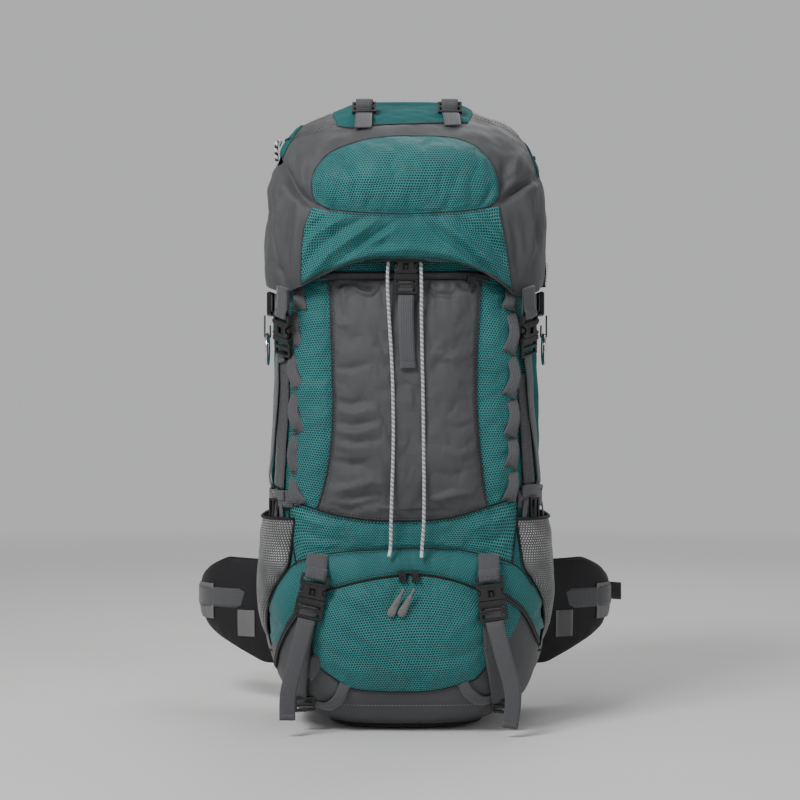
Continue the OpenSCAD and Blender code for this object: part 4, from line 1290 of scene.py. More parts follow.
rows = [seen_row(FRONT, inset(POCKET_LEFT, 3.2), 7.4), seen_row(FRONT, inset(POCKET_RIGHT, -3.2), 7.4),
        seen_row(FRONT, [(x, z + 3.4) for x, z in POCKET_FOOT], 6.6),
        seen_row(FRONT, [(x, z - 3.0) for x, z in LOWER_TOP], 4.0)]
stitches("pocket_thread", rows, MAT["thread"], "pack", size=0.0008)

# ------------------------------------------------------------------ bottom: hood, zip and panel
HOOD_OUT = [(-160, 42), (-171, 59), (-174, 77), (-172, 100), (-165, 134), (-154, 162), (-136, 186), (-121, 194),
    (-88, 201), (-41, 205), (7, 207), (54, 206), (90, 200), (132, 187), (153, 162), (169, 134), (177, 105),
    (176, 82), (166, 54)]
HOOD_IN = [(-155, 44), (-157, 61), (-153, 87), (-143, 110), (-129, 130), (-102, 152), (-77, 161), (-41, 169),
    (10, 175), (54, 169), (90, 156), (120, 148), (141, 132), (157, 103), (165, 73), (162, 56)]
PANEL_TOP = [(-113, 136), (-102, 152), (-77, 161), (-41, 169), (10, 175), (54, 169), (90, 156), (102, 144)]
PANEL_LEFT = [(-83, 47), (-102, 61), (-112, 77), (-114, 105), (-113, 136)]
PANEL_RIGHT = [(85, 48), (98, 63), (102, 81), (101, 114), (102, 144)]
PANEL_FOOT = [(-83, 47), (-65, 37), (-18, 33), (30, 34), (63, 41), (85, 48)]


def hood_shape(seen):
    h = pucker(seen, HOOD_IN, 9.5, 1.5, 9) + pucker(seen, HOOD_OUT, 21, 0.8, 12)
    h += 3.0 * np.exp(-((seen[..., 1] - 188) / 14) ** 2) * np.exp(-(seen[..., 0] / 115) ** 6)
    for line, width, height in (
            ([(3, 203), (8, 187), (5, 176)], 3, -2.0), ([(23, 176), (30, 188), (37, 198)], 3, -1.8),
            ([(-26, 173), (-29, 186), (-36, 198)], 3.5, -1.6), ([(-13, 176), (-8, 191), (-4, 200)], 3, 1.4),
            ([(49, 172), (54, 186), (57, 198)], 3.5, -1.4), ([(-68, 166), (-58, 181), (-48, 195)], 4, 1.6),
            ([(-92, 159), (-80, 178), (-75, 193)], 4, -1.4), ([(79, 164), (84, 178), (81, 193)], 4, 1.4),
            ([(-129, 176), (-141, 149), (-151, 125)], 4, 1.6), ([(137, 164), (152, 139), (162, 115)], 4, 1.6)):
        h += fold(seen, line, width, height)
    return h


def bottom_shape(seen):
    h = 5.0 * np.exp(-((seen[..., 0] / 75) ** 2 + ((seen[..., 1] - 110) / 45) ** 2))
    for line, width, height in (
            ([(-107, 138), (-74, 120), (-41, 95), (-16, 77)], 7, 1.8),
            ([(-92, 149), (-55, 130), (-19, 105)], 6, -1.6), ([(96, 137), (69, 117), (42, 93)], 7, 1.6),
            ([(-109, 95), (-80, 77), (-43, 66)], 6, -1.4), ([(98, 95), (66, 78), (30, 69)], 6, -1.4),
            ([(-55, 156), (-31, 139), (-12, 117)], 5, 1.2)):
        h += fold(seen, line, width, height)
    return h


panel("bottom_hood_cloth", FRONT, coons([HOOD_IN[0], HOOD_OUT[0]], [HOOD_IN[-1], HOOD_OUT[-1]], HOOD_IN,
                                        HOOD_OUT, 3.0), MAT["hood"], "pack", edge=1.8, crown=5.2, soft=7,
      shape=hood_shape, nodes=["bottom_hood"], sim=dict(SOFT, cap=3, shrink=-0.05))
panel("bottom_panel_cloth", FRONT, coons(PANEL_LEFT, PANEL_RIGHT, PANEL_FOOT, PANEL_TOP), MAT["teal"], "pack",
      edge=1.4, crown=4.0, soft=10, shape=bottom_shape, nodes=["bottom_panel"],
      sim=dict(SOFT, cap=3))
panel("bottom_corner_cloth", FRONT, coons([(103, 95), (102, 120), (103, 142)],
                                          [(125, 95), (135, 114), (142, 131)],
                                          [(103, 95), (113, 93), (125, 95)],
                                          [(103, 142), (123, 144), (142, 131)]), MAT["teal"], "pack", edge=0.8,
      crown=1.5, soft=5)
zip_tape("bottom_zip_tape", HOOD_IN, 5, 1.6, ["bottom_zip"])
for tag, line in (("left", HOOD_IN[:6]), ("right", HOOD_IN[-6:])):
    zip_tape("bottom_zip_coil_" + tag, line, 6, 3.0)
for name, line, radius, mat, lift in (
        ("hood_hem", HOOD_IN, 0.9, "binding", 3.4), ("hood_top_seam", HOOD_OUT[4:15], 0.8, "thread", 2.4),
        ("bottom_seam_left", PANEL_LEFT, 0.9, "binding", 1.6),
        ("bottom_seam_right", PANEL_RIGHT, 0.9, "binding", 1.6),
        ("bottom_seam_foot", PANEL_FOOT, 0.9, "binding", 1.6)):
    piping(name, FRONT, line, radius, MAT[mat], "pack", lift)
rows = [seen_row(FRONT, [(x, z + 3.4) for x, z in HOOD_IN[3:13]], 5.2),
    seen_row(FRONT, [(x, z - 3.2) for x, z in PANEL_FOOT], 1.2),
        seen_row(FRONT, [(x, z - 3.4) for x, z in HOOD_OUT[6:14]], 4.6)]
stitches("bottom_thread", rows, MAT["thread"], "pack")


def base_binding():
    path = [on_body(a, 5, 1.4) for a in even_angles(body_section(5), 150)]
    finish_piece(tube("base_binding", path, 0.0017, MAT["binding"]), "pack")
    path = [on_body(a, 33, 1.2) for a in even_angles(body_section(33), 170)]
    normals = [(q - Vector((0, 0.005, 0.06))).normalized() for q in path]
    stitches("base_thread", [(path, normals)], MAT["thread_light"], "pack", size=0.0004)


base_binding()


# ------------------------------------------------------------------ side pockets
def side_pocket(sign, name, node):
    """A net pocket that stands off the side, with its grey edges and bindings."""
    lead = smooth_keys([(10, 96), (60, 93), (100, 89), (125, 84), (150, 73), (190, 50), (247, 45), (260, 45)],
                       17)
    low, high = 12, 249
    grey_top, grey_rear = 0.28, 0.72  # the cloth band at the foot and the one at the back, as shares of the net
    rows = []
    for z in np.linspace(low, high, 60):
        k = (z - low) / (high - low)
        a = float(lead(z))
        line = []
        for u in np.linspace(0, 1, 34):
            round_off = math.sqrt(max(0, 1 - (2 * u - 1) ** 4))
            out = 2.0 + 12.0 * round_off * math.sqrt(math.sin(math.radians(90 * min(1, 1.3 * k + 0.04))))
            out -= 3.2 * math.exp(-((z - 246) / 9) ** 2) * round_off
            line.append(on_body(sign * (a + (128 - a) * u), z, out))
        rows.append(line)
    grid = Grid(rows)
    seen = grid.p[..., 2] / MM
    h = rumple(grid.p * np.array([1, 1, 0.5]), 0.04, 11.0 + sign) * 1.6 + rumple(grid.p, 0.015, 3.0) * 0.4
    h *= np.clip((high - seen) / 20, 0, 1) * np.clip((seen - low) / 20, 0, 1)
    grid.p = grid.p + outward(grid, Vector((0, 0, 0.13))) * (h * MM)[..., None]
    obj = grid.build(name, [MAT["net"], MAT["side_grey"]], lambda v,
                     u: 1 if v < grey_top or u > grey_rear else 0)
    turn_outward(obj, Vector((0, 0, 0.13)))
    hem = [Vector(q) for q in grid.p[-1]]
    front = [Vector(q) for q in grid.p[:, 0]]
    rear = [Vector(q) for q in grid.p[:, -1]]
    split = [Vector(q) for q in grid.p[int(grey_top * 59) + 1]]
    down = [Vector(q) for q in grid.p[int(grey_top * 59) + 1:, int(grey_rear * 33) + 1]]
    subdivide(obj, 1)
    solid = obj.modifiers.new("thick", "SOLIDIFY")
    solid.thickness = 0.0012
    apply_modifiers(obj)
    finish_piece(obj, "pack", [node])
    side = "left" if sign < 0 else "right"
    parts = [tube("edge", line, radius, MAT["binding"], sides) for line, radius, sides in (
        (hem, 0.0018, 8), (front, 0.0012, 8), (rear, 0.0018, 8), (split, 0.0012, 6), (down, 0.0012, 6))]
    finish_piece(join("side_pocket_binding_" + side, parts), "pack")


side_pocket(-1, "side_pocket_net_left", "side_pocket_left")
side_pocket(1, "side_pocket_net_right", "side_pocket_right")

def seen_band(points, width, lift, step, side=0.0, mat="web", rounds=0, soften=4):
    """Webbing on the bag along a line as the camera sees it."""
    hits = [FRONT.hit(x, z, lift, side) for x, z in curve_mm(points, step)]
    return band("web", settle([h[0] for h in hits], rounds), settle([h[1] for h in hits], soften), width,
                MAT[mat])


# ------------------------------------------------------------------ buckles: webbing along Z, mouth at z = 0
def turn(axis, degrees):
    return Matrix.Rotation(math.radians(degrees), 4, axis)


def move(x, y, z):
    return Matrix.Translation((x, y, z))


MIRROR = Matrix.Scale(-1, 4, (1, 0, 0))
LID_SIDE_TILT = math.degrees(math.atan((545 - 463 - 6) / (112 + 97.7)))
LID_FRONT_TILT = math.degrees(math.atan((545 - 534 - 6) / (112 + 131.8)))
AT_LID_SIDE = move(143.9, -97.7, 463) @ turn("X", LID_SIDE_TILT) @ turn("Z", 48)
AT_LID_FRONT = move(0, -131.8, 534) @ turn("X", LID_FRONT_TILT)
AT_BOTTOM_LEFT = move(-109, -134, 160) @ turn("Y", 12)
AT_BOTTOM_RIGHT = move(99, -135, 158) @ turn("Y", -7)
AT_PRESS = move(164.5, 2, HIGH_STRAP) @ turn("Z", 90) @ turn("Y", 90)
AT_STERNUM = move(0, 209.5, 400) @ turn("Z", 180) @ turn("Y", 90)
BELT_HEIGHT = 132.5
AT_BELT = move(221, 303, BELT_HEIGHT) @ turn("Z", -42) @ turn("Y", -90)
AT_BELT_FEMALE = MIRROR @ AT_BELT @ move(0, 0, -20) @ turn("X", 180) @ move(0, 0, -18)


def cells(bm, xs, zs, y0, y1, holes=()):
    """A plate made of cells between the x and z lines, with some cells left out; xs may be a function of z."""
    grid = {}
    faces = []
    for j, z in enumerate(zs):
        line = xs(z) if callable(xs) else xs
        for i, x in enumerate(line):
            for s, y in ((0, y0), (1, y1)):
                grid[i, j, s] = bm.verts.new((x, y, z))
    n = len(xs(zs[0]) if callable(xs) else xs)
    solid = lambda i, j: 0 <= i < n - 1 and 0 <= j < len(zs) - 1 and (i, j) not in holes
    for j in range(len(zs) - 1):
        for i in range(n - 1):
            if not solid(i, j):
                continue
            q = [(i, j), (i + 1, j), (i + 1, j + 1), (i, j + 1)]
            faces.append([grid[a, b, 0] for a, b in q])
            faces.append([grid[a, b, 1] for a, b in reversed(q)])
            for (a, b), near in ((((i, j), (i + 1, j)), (i, j - 1)), (((i + 1, j), (i + 1, j + 1)), (i + 1, j)),
                                 (((i + 1, j + 1), (i, j + 1)), (i, j + 1)),
                                 (((i, j + 1), (i, j)), (i - 1, j))):
                if not solid(*near):
                    faces.append([grid[a + (0,)], grid[a + (1,)], grid[b + (1,)], grid[b + (0,)]])
    for f in faces:
        bm.faces.new(f)


def round_bar(bm, radius, half, at):
    bmesh.ops.create_cone(bm, cap_ends=True, segments=10, radius1=radius, radius2=radius, depth=2 * half,
                                 matrix=move(*at) @ turn("Y", 90))


def lump(bm, at, size):
    bmesh.ops.create_uvsphere(bm, u_segments=14, v_segments=9, radius=1.0,
                              matrix=move(*at) @ Matrix.Diagonal((*size, 1)))


def hardware(name, bm, matrix, mat, body, nodes=(), bevel=0.45):
    bmesh.ops.remove_doubles(bm, verts=bm.verts, dist=1e-4)
    loose = [v for v in bm.verts if not v.link_faces]
    bmesh.ops.delete(bm, geom=loose, context="VERTS")
    bmesh.ops.recalc_face_normals(bm, faces=bm.faces)
    bm.transform(Matrix.Scale(MM, 4) @ matrix)
    if matrix.determinant() < 0:
        bmesh.ops.reverse_faces(bm, faces=bm.faces)
    mesh = bpy.data.meshes.new(name)
    bm.to_mesh(mesh)
    bm.free()
    mesh.materials.append(mat)
    obj = bpy.data.objects.new(name, mesh)
    bpy.context.scene.collection.objects.link(obj)
    if bevel:
        mod = obj.modifiers.new("edges", "BEVEL")
        mod.width = bevel * MM
        mod.segments = 2
        mod.limit_method = "ANGLE"
        mod.angle_limit = math.radians(40)
        apply_modifiers(obj)
        obj.data.polygons.foreach_set("use_smooth", [False] * len(obj.data.polygons))
    return finish_piece(obj, body, nodes)


def female(name, w, matrix, body, nodes=()):
    """The half of a side-release buckle that takes the prongs: two plates, a back wall and a bar."""
    bm = bmesh.new()
    half = w / 2

    def edge(z):
        stops = [(0, half - 2.2), (2, half - 0.4), (4, half - 0.6), (6, half - 4.2), (11.5, half - 4.8),
            (14, half - 1.2), (16, half)]
        x = np.interp(z, [s[0] for s in stops], [s[1] for s in stops])
        return [-x, -3.0, 3.0, x]

    zs = [0, 2, 4, 6, 9, 11.5, 14, 16, 18.6]
    for y0, y1, holes in ((-4.4, -2.6, {(1, 2), (1, 3), (1, 4)}), (2.6, 4.4, set())):
        cells(bm, edge, zs, y0, y1, holes)
    cells(bm, [-half + 0.2, half - 0.2], [14.6, 18.4], -3.4, 3.4)
    cells(bm, [-half, -half + 3, half - 3, half], [18.2, 23, 27.2], -2.6, 2.6, {(1, 0)})
    for s in (-1, 1):
        cells(bm, [s * 4.4 - 0.6, s * 4.4 + 0.6], [2.5, 16.5], -5.1, -4.2)
    cells(bm, [-half + 1.5, half - 1.5], [15.2, 16.4], -5.0, -4.2)
    hardware(name, bm, matrix, MAT["black"], body, nodes)


def male(name, w, matrix, body, nodes=()):
    """The half with the prongs, and the ladder bars that hold its webbing."""
    bm = bmesh.new()
    half = w / 2
    for s in (-1, 1):
        x = s * (half - 5.2)
        cells(bm, [x - 2, x + 2], [-1, 10.5], -1.9, 1.9)
        lump(bm, (s * (half - 3.6), 0, 8.8), (3.2, 2.5, 4.2))
    cells(bm, [-2.2, 2.2], [-1, 10], -1.7, 1.7)
    edge = lambda z: half - (0.6 if z > -3 else 0)
    cells(bm, lambda z: [-edge(z), edge(z)], [-6.6, -4, -0.5], -4, 4)
    xs = [-half, -half + 3.2, half - 3.2, half]
    cells(bm, xs, [-24, -21.2, -16.6, -13.2, -8.6, -6], -2, 2, {(1, 1), (1, 3)})
    for z in (-12.6, -22.4):
        round_bar(bm, 1.9, half - 1, (0, -1.4, z))
    hardware(name, bm, matrix, MAT["black"], body, nodes)


def slider_frame(bm, matrix, w):
    """Adds a ladder frame for webbing w mm wide to bm."""
    part = bmesh.new()
    half = w / 2
    xs = [-half - 3, -half - 0.5, half + 0.5, half + 3]
    cells(part, xs, [-7, -4.6, -1.2, 1.2, 4.6, 7], -1.6, 1.6, {(1, 1), (1, 3)})
    round_bar(part, 1.7, half + 1, (0, -0.9, 0))
    bmesh.ops.remove_doubles(part, verts=part.verts, dist=1e-4)
    bmesh.ops.recalc_face_normals(part, faces=part.faces)
    part.transform(matrix)
    spare = bpy.data.meshes.new("spare")
    part.to_mesh(spare)
    part.free()
    bm.from_mesh(spare)
    bpy.data.meshes.remove(spare)


def local_band(matrix, points, width, mat, thick=0.0015):
    """Webbing in a buckle's own frame; points are (y, z), or (x, y, z)."""
    full = [Vector(p if len(p) == 3 else (0, p[0], p[1])) for p in points]
    path = [(matrix @ q) * MM for q in full]
    path = smooth_path(path, 0.002)
    across = (matrix.to_3x3() @ Vector((1, 0, 0))).normalized()
    normals = [tangent(path, i).cross(across).normalized() for i in range(len(path))]
    return band("web", path, normals, width * MM, mat, thick)


def around(radius, z):
    """(y, z) points of the half turn round a bar, from its front over its foot to its back."""
    return [(radius * math.cos(math.radians(a)), z + radius * math.sin(math.radians(a)))
            for a in range(0, -181, -30)]


def bar_loop(matrix, width, up):
    """Webbing round the female half's bar, sewn to itself."""
    return local_band(matrix, [(2.6, 25 + up), (3.0, 31)] + around(3.2, 25)
                      + [(-2.6, 31), (-0.4, 35), (0.6, 25 + up)], width, MAT["web"])


female("lid_side_female_left", SMALL_BUCKLE, MIRROR @ AT_LID_SIDE, "lid", ["lid_buckles"])
female("lid_side_female_right", SMALL_BUCKLE, AT_LID_SIDE, "lid")
female("lid_front_female", SMALL_BUCKLE, AT_LID_FRONT, "lid")
male("lid_side_prongs_left", SMALL_BUCKLE, MIRROR @ AT_LID_SIDE, "lid_male_left", ["lid_side_male_left"])
male("lid_side_prongs_right", SMALL_BUCKLE, AT_LID_SIDE, "lid_male_right", ["lid_side_male_right"])
male("lid_front_prongs", SMALL_BUCKLE, AT_LID_FRONT, "lid_male_front", ["lid_front_male"])
female("press_female_left", SMALL_BUCKLE, MIRROR @ AT_PRESS, "pack", ["fixed_buckles"])
female("press_female_right", SMALL_BUCKLE, AT_PRESS, "pack")
male("press_prongs_left", SMALL_BUCKLE, MIRROR @ AT_PRESS, "side_male_left", ["compression_male_left"])
male("press_prongs_right", SMALL_BUCKLE, AT_PRESS, "side_male_right", ["compression_male_right"])
female("bottom_female_left", LARGE_BUCKLE, AT_BOTTOM_LEFT, "pack")
female("bottom_female_right", LARGE_BUCKLE, AT_BOTTOM_RIGHT, "pack")
male("bottom_prongs_left", LARGE_BUCKLE, AT_BOTTOM_LEFT, "low_male_left", ["bottom_male_left"])
male("bottom_prongs_right", LARGE_BUCKLE, AT_BOTTOM_RIGHT, "low_male_right", ["bottom_male_right"])
female("chest_female", SMALL_BUCKLE, AT_STERNUM, "harness", ["sternum_female"])
male("chest_prongs", SMALL_BUCKLE, AT_STERNUM, "chest_male", ["sternum_male"])
female("belt_female", LARGE_BUCKLE, AT_BELT_FEMALE, "wing_left", ["hip_female"])
male("belt_prongs", LARGE_BUCKLE, AT_BELT, "wing_right", ["hip_male"])

# ladder locks and lashing webbing on the lid's top
def frame_on(bm, at, normal, up, w, lean=0.0, scale=1.0):
    """A ladder frame that lies on a surface, its webbing running along up."""
    out = normal.normalized()
    along = (up - out * up.dot(out)).normalized()
    across = along.cross(out).normalized() * -1
    m = Matrix((across, -out, along)).transposed().to_4x4()
    m.translation = Vector(at) / MM
    slider_frame(bm, m @ turn("Y", lean) @ Matrix.Diagonal((1, scale, scale, 1)), w)


frames = bmesh.new()
webs = []
for x, foot in ((-50, (-51, 717)), (54, (57, 720))):
    base = LID.hit(*foot, 3.4)[0]
    seat, lean = LID.hit(x, 735, 4.5)
    out = (lean + Vector((0, -0.9, 0.2))).normalized()
    at = seat + Vector((0, -0.004, 0.004))
    frame_on(frames, at, out, Vector((0, 0.55, 1)), 23, 0, 1.35)
    top = LID.near(Vector((x, -2, 756)) * MM, 5.2)[0]
    path = smooth_path([base, base.lerp(at, 0.5) + Vector((0, -0.003, 0.001)),
                        at + Vector((0, -0.0042, -0.006)), at + Vector((0, -0.0036, 0.004)),
                        at + Vector((0, 0.004, 0.011)), top, LID.near(Vector((x, 40, 757)) * MM, 5.0)[0],
                        LID.near(Vector((x, 80, 757)) * MM, 4.6)[0],
                        LID.near(Vector((x, 108, 735)) * MM, 2.4)[0],
                        LID.near(Vector((x, 116, 700)) * MM, 2.4)[0],
                        LID.near(Vector((x, 118, 660)) * MM, 2.4)[0]], 0.003)
    normals = [tangent(path, i).cross(Vector((1, 0, 0))).normalized() * -1 for i in range(len(path))]
    if normals[0].y > 0:
        normals = [-q for q in normals]
    webs.append(band("web", path, normals, WEBBING * MM, MAT["web"]))
hardware("lid_lash_frames", frames, Matrix.Identity(4), MAT["plastic_grey"], "lid", (), 0.3)
webs.append(bar_loop(AT_LID_FRONT, WEBBING, 18))
for m in (AT_LID_SIDE, MIRROR @ AT_LID_SIDE):
    webs.append(bar_loop(m, WEBBING, 34))
finish_piece(join("lid_webbing", webs), "lid", ["lid_top_straps"])

# tail of the front strap and the straps that anchor the lid
tail = local_band(AT_LID_FRONT, [(1.6, -9), (-1.0, -10.6), (-1.4, -15), (0.8, -21), (-0.6, -25.2),
                                 (-4.6, -28.5), (-6.6, -36), (-8.4, -54), (1.0, -8.8, -80), (2.6, -8.4, -109)],
                  18, MAT["web"])
hem = local_band(AT_LID_FRONT, [(2.3, -10.0, -102), (2.6, -10.0, -109.3)], 18.4, MAT["web"], 0.0022)
finish_piece(join("lid_front_tail_web", [tail, hem]), "lid_male_front", ["lid_front_tail"])

webs = [local_band(AT_LID_FRONT, [(1.6, -21), (3.2, -26), (4.4, -40), (3.0, -60), (1.6, -82)], 20,
                   MAT["web_dark"])]
for sign, m in ((-1, MIRROR @ AT_LID_SIDE), (1, AT_LID_SIDE)):
    line = [(-152, 440), (-154, 388), (-158, 327), (-163, 282)] if sign < 0 else [(148, 417), (149, 386),
        (154, 340), (159, 288)]
    start = (m @ Vector((0, 1.5, -22))) * MM
    path = [start] + [FRONT.hit(x, z, 4.5, -0.06)[0] for x, z in curve_mm(line, 12)]
    path = settle(smooth_path(path, 0.004), 3)
    normals = settle([(FRONT.near(q, 0, Vector((sign * 0.5, -1, 0)))[1]
                       + Vector((sign * 0.5, 0, 0))).normalized() for q in path], 4)
    outer = band("lid_anchor_web_" + ("left" if sign < 0 else "right"),
        path, normals, lambda k: 0.019 - 0.005 * k, MAT["web"])
    finish_piece(outer, "pack", ())
    tuple(path[-1])
    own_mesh(outer)
    line = [(-146, 437), (-147, 388), (-149, 339), (-152, 282)] if sign < 0 else [(141, 420), (143, 386),
        (145, 340), (149, 286)]
    webs.append(seen_band(line, WEBBING * MM, 2.4, 4, -0.06, "web_dark", rounds=2))
finish_piece(join("lid_anchor_webbing", webs), "pack", ["lid_anchor_straps"])


# ------------------------------------------------------------------ daisy chains: loops between tacks
def daisy(sign, loops):
    """A chain of webbing loops; each is given by its top, waist and foot."""
    parts, tacks = [], []
    for top, waist, foot in loops:
        line = curve_mm([top, waist, foot], 2.0)
        n = len(line)
        path, normals = [], []
        for i, (x, z) in enumerate(line):
            k = i / (n - 1)
            lift = 2.0 + 9.0 * math.sin(math.pi * min(1, k * 1.02)) ** 0.8 + 4.0 * k ** 3
            at, normal = FRONT.hit(x, z, 1.0)
            path.append(at + Vector((0.0032 if sign < 0 else 0.0, -0.0009 * lift, 0)))
            lean = (normal + Vector((0, -0.8, 0))).normalized()
            roll = turn("Z", -sign * (22 * math.sin(math.pi * k) - 12 * k ** 2)).to_3x3()
            normals.append(roll @ lean)
        parts.append(band("loop", settle(path, 1), settle(normals, 2),
                          lambda k: 0.0125 + 0.0045 * k ** 3, MAT["web"], 0.0017))
        tacks.append((foot, normals[-1]))
    finish_piece(join("daisy_chain_" + ("left" if sign < 0 else "right"), parts), "pack",
                 ["daisy_chains"] if sign < 0 else ())
    rows = []
    for (x, z), n in tacks:
        for d in (-1.0, 1.2):
            ends = [FRONT.hit(x - 8, z + d + 2, 7.5)[0], FRONT.hit(x + 6, z + d + 2, 7.5)[0]]
            rows.append((smooth_path(ends, 0.002), [n] * 20))
    stitches("daisy_tacks_" + ("left" if sign < 0 else "right"), rows, MAT["thread"], "pack", length=0.0016,
             gap=0.0006)


def loop_rows(points):
    """Splits a list of points into loops of three."""
    return [points[i:i + 3] for i in range(0, len(points), 3)]


daisy(-1, loop_rows([(-132, 527), (-132, 512), (-130, 498), (-133, 495), (-138, 473), (-131, 451), (-135, 447),
    (-140, 425), (-131, 400), (-135, 397), (-139, 373), (-131, 349), (-135, 345), (-140, 321), (-133, 298),
    (-136, 295), (-138, 278), (-130, 262)]))
daisy(1, loop_rows([(127, 525), (127, 511), (124, 498), (127, 494), (132, 470), (124, 445), (127, 442),
    (133, 417), (124, 393), (129, 389), (132, 367), (126, 344), (129, 342), (131, 323), (126, 306), (129, 303),
    (131, 286), (125, 266)]))

# ------------------------------------------------------------------ compression straps round the sides
def side_band(a, b, z, off):
    """Webbing round the body at height z, from angle a to angle b."""
    path, normals = [], []
    for t in np.linspace(a, b, 40):
        path.append(on_body(t, z, off))
        ahead, back = on_body(t + 1, z, off), on_body(t - 1, z, off)
        d = (ahead - back).normalized()
        normals.append(Vector((d.y, -d.x, 0)))
    middle = path[20]
    if normals[20].dot(Vector((middle.x, middle.y * 0.2, 0))) < 0:
        normals = [-n for n in normals]
    return band("web", path, normals, WEBBING * MM, MAT["web"])


webs = []
low_frames = bmesh.new()
for sign, m in ((-1, MIRROR @ AT_PRESS), (1, AT_PRESS)):
    webs.append(side_band(sign * 56, sign * 76, HIGH_STRAP, 1.8))
    webs.append(side_band(sign * 104, sign * 122, HIGH_STRAP, 1.8))
    webs.append(side_band(sign * 46, sign * 122, LOW_STRAP, 2.4))
    webs.append(bar_loop(m, WEBBING, 16))
    webs.append(local_band(m, [(1.6, -21), (3.6, -26), (4.6, -40), (4.8, -50)], WEBBING, MAT["web"]))
    seat, lean = FRONT.hit(*((-154, 254) if sign < 0 else (151, 256)), 7.0, -0.08)
    frame_on(low_frames, seat, Vector((lean.x, lean.y - 0.5, 0)), Vector((1, 0, 0)), WEBBING)
    line = [(-168, 273), (-155, 273), (-143, 272)] if sign < 0 else [(138, 278), (149, 280), (162, 280)]
    webs.append(seen_band(line, 0.0125, 6.0, 2, -0.08))
    left = ([(-165, 264), (-165, 242)], [(-157, 264), (-157, 241)], [(-147, 262), (-146, 241)])
    right = ([(160, 267), (162, 245)], [(152, 267), (152, 244)], [(142, 266), (141, 244)])
    for line in left if sign < 0 else right:
        webs.append(seen_band(line, 0.0065, 6.0, 2, -0.08))
    # loop that holds the gear ring
    line = [(3.4, 24)] + around(3.4, 0) + [(-3.0, 12)]
    loop = [Vector((sign * (166 + x), -31, 465.6 + z)) * MM for x, z in line]
    path = smooth_path(loop, 0.001)
    webs.append(band("web", path, [tangent(path, i).cross(Vector((0, 1, 0))) for i in range(len(path))], 0.01,
                     MAT["web"]))
finish_piece(join("compression_webbing", webs), "pack", ["compression_straps"])
hardware("lower_press_frames", low_frames, Matrix.Identity(4), MAT["black"], "pack", (), 0.3)

# ------------------------------------------------------------------ bottom straps, tails and tool loops
webs = []
for m, upper, inner in (
        (AT_BOTTOM_LEFT, [(-105, 199), (-107, 191), (-112, 178)],
         [(-115, 130), (-120, 95), (-124, 56), (-125, 17)]),
        (AT_BOTTOM_RIGHT, [(99, 199), (101, 191), (103, 178)], [(102, 125), (103, 89), (108, 49), (113, 15)])):
    webs.append(bar_loop(m, 24, 8))
    front = (m @ Vector((0, -3.4, 27))) * MM
    first = FRONT.hit(upper[0][0], upper[0][1], 6.5)[0]
    path = [first.lerp(front, k) + Vector((0, -0.0025 * math.sin(math.pi * k), 0))
            for k in np.linspace(0, 1, 9)]
    webs.append(band("web", path, [Vector((0, -1, 0.1)).normalized()] * len(path), 0.0245, MAT["web"]))
    hits = [FRONT.hit(x, z, 6.0) for x, z in curve_mm(inner, 4)]
    path = [(m @ Vector((0, 2.2, -20))) * MM] + [h[0] for h in hits]
    webs.append(band("web", settle(path, 2), settle([hits[0][1]] + [h[1] for h in hits], 3), 0.017,
                     MAT["web_dark"]))
finish_piece(join("bottom_webbing", webs), "pack", ["bottom_strap_webbing"])

tri = bmesh.new()
for x, z, lean in ((-120, 22, 4), (115, 20, -6)):
    at, n = FRONT.hit(x, z, 4.0)
    frame_on(tri, at + Vector((0, -0.0085, 0)), Vector((0, -1, -0.15)), Vector((0, 0, 1)), 18, lean, 1.25)
hardware("bottom_slide_frames", tri, Matrix.Identity(4), MAT["black"], "pack", (), 0.35)

for side, m, points, reach in (("left", AT_BOTTOM_LEFT, [(-121, 131), (-132, 77), (-143, 30), (-144, -2)], 1),
                               ("right", AT_BOTTOM_RIGHT, [(107, 127), (119, 77), (131, 30), (127, -12)], -1)):
    start = [(m @ Vector(q)) * MM for q in ((0, 1.6, -9), (0, -1.0, -10.6), (0, -1.4, -15), (0, 0.8, -21),
        (0, -0.6, -25.4), (0, -4.6, -29))]
    line = [view_point(x, z, y * MM) for (x, z), y in zip(points[1:], (-142, -141, -137))]
    path = smooth_path(start + line, 0.004)
    n = len(path)
    normals = [Vector((0.10 * reach * math.sin(2.4 * i / n), -1, 0.0)).normalized() for i in range(n)]
    tail = band("bottom_tail_web_" + side, path, normals, lambda k: 0.0215 - 0.0035 * k, MAT["web"])
    end = path[-1]
    d = (path[-1] - path[-4]).normalized()
    hem = band("hem", [end - d * 0.007, end + d * 0.0004], [Vector((0, -1, 0))] * 2, 0.0184, MAT["web"], 0.0026)
    obj = join("bottom_tail_web_" + side, [tail, hem])
    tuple(path[3])
    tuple(path[-1])
    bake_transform(obj)
    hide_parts("bottom_tail_" + side)

webs = []
for line, width in (([(-73, 42), (-80, 27), (-94, 17), (-114, 19)], 0.013),
                    ([(70, 44), (77, 32), (91, 24), (107, 25)], 0.013),
                    ([(158, 64), (168, 54), (164, 42), (152, 32)], 0.009)):
    path, normals = [], []
    for i, (x, z) in enumerate(curve_mm(line, 2)):
        at, n = FRONT.hit(x, z, 2.2 + 2.5 * math.sin(math.pi * i / 20))
        path.append(at)
        normals.append(n)
    webs.append(band("web", path, settle(normals, 3), width, MAT["web"]))
webs.append(seen_band([(-113, 76), (-110, 64), (-118, 52)], 0.014, 2.6, 3, soften=0))
finish_piece(join("tool_loop_webbing", webs), "pack", ["tool_loops"])

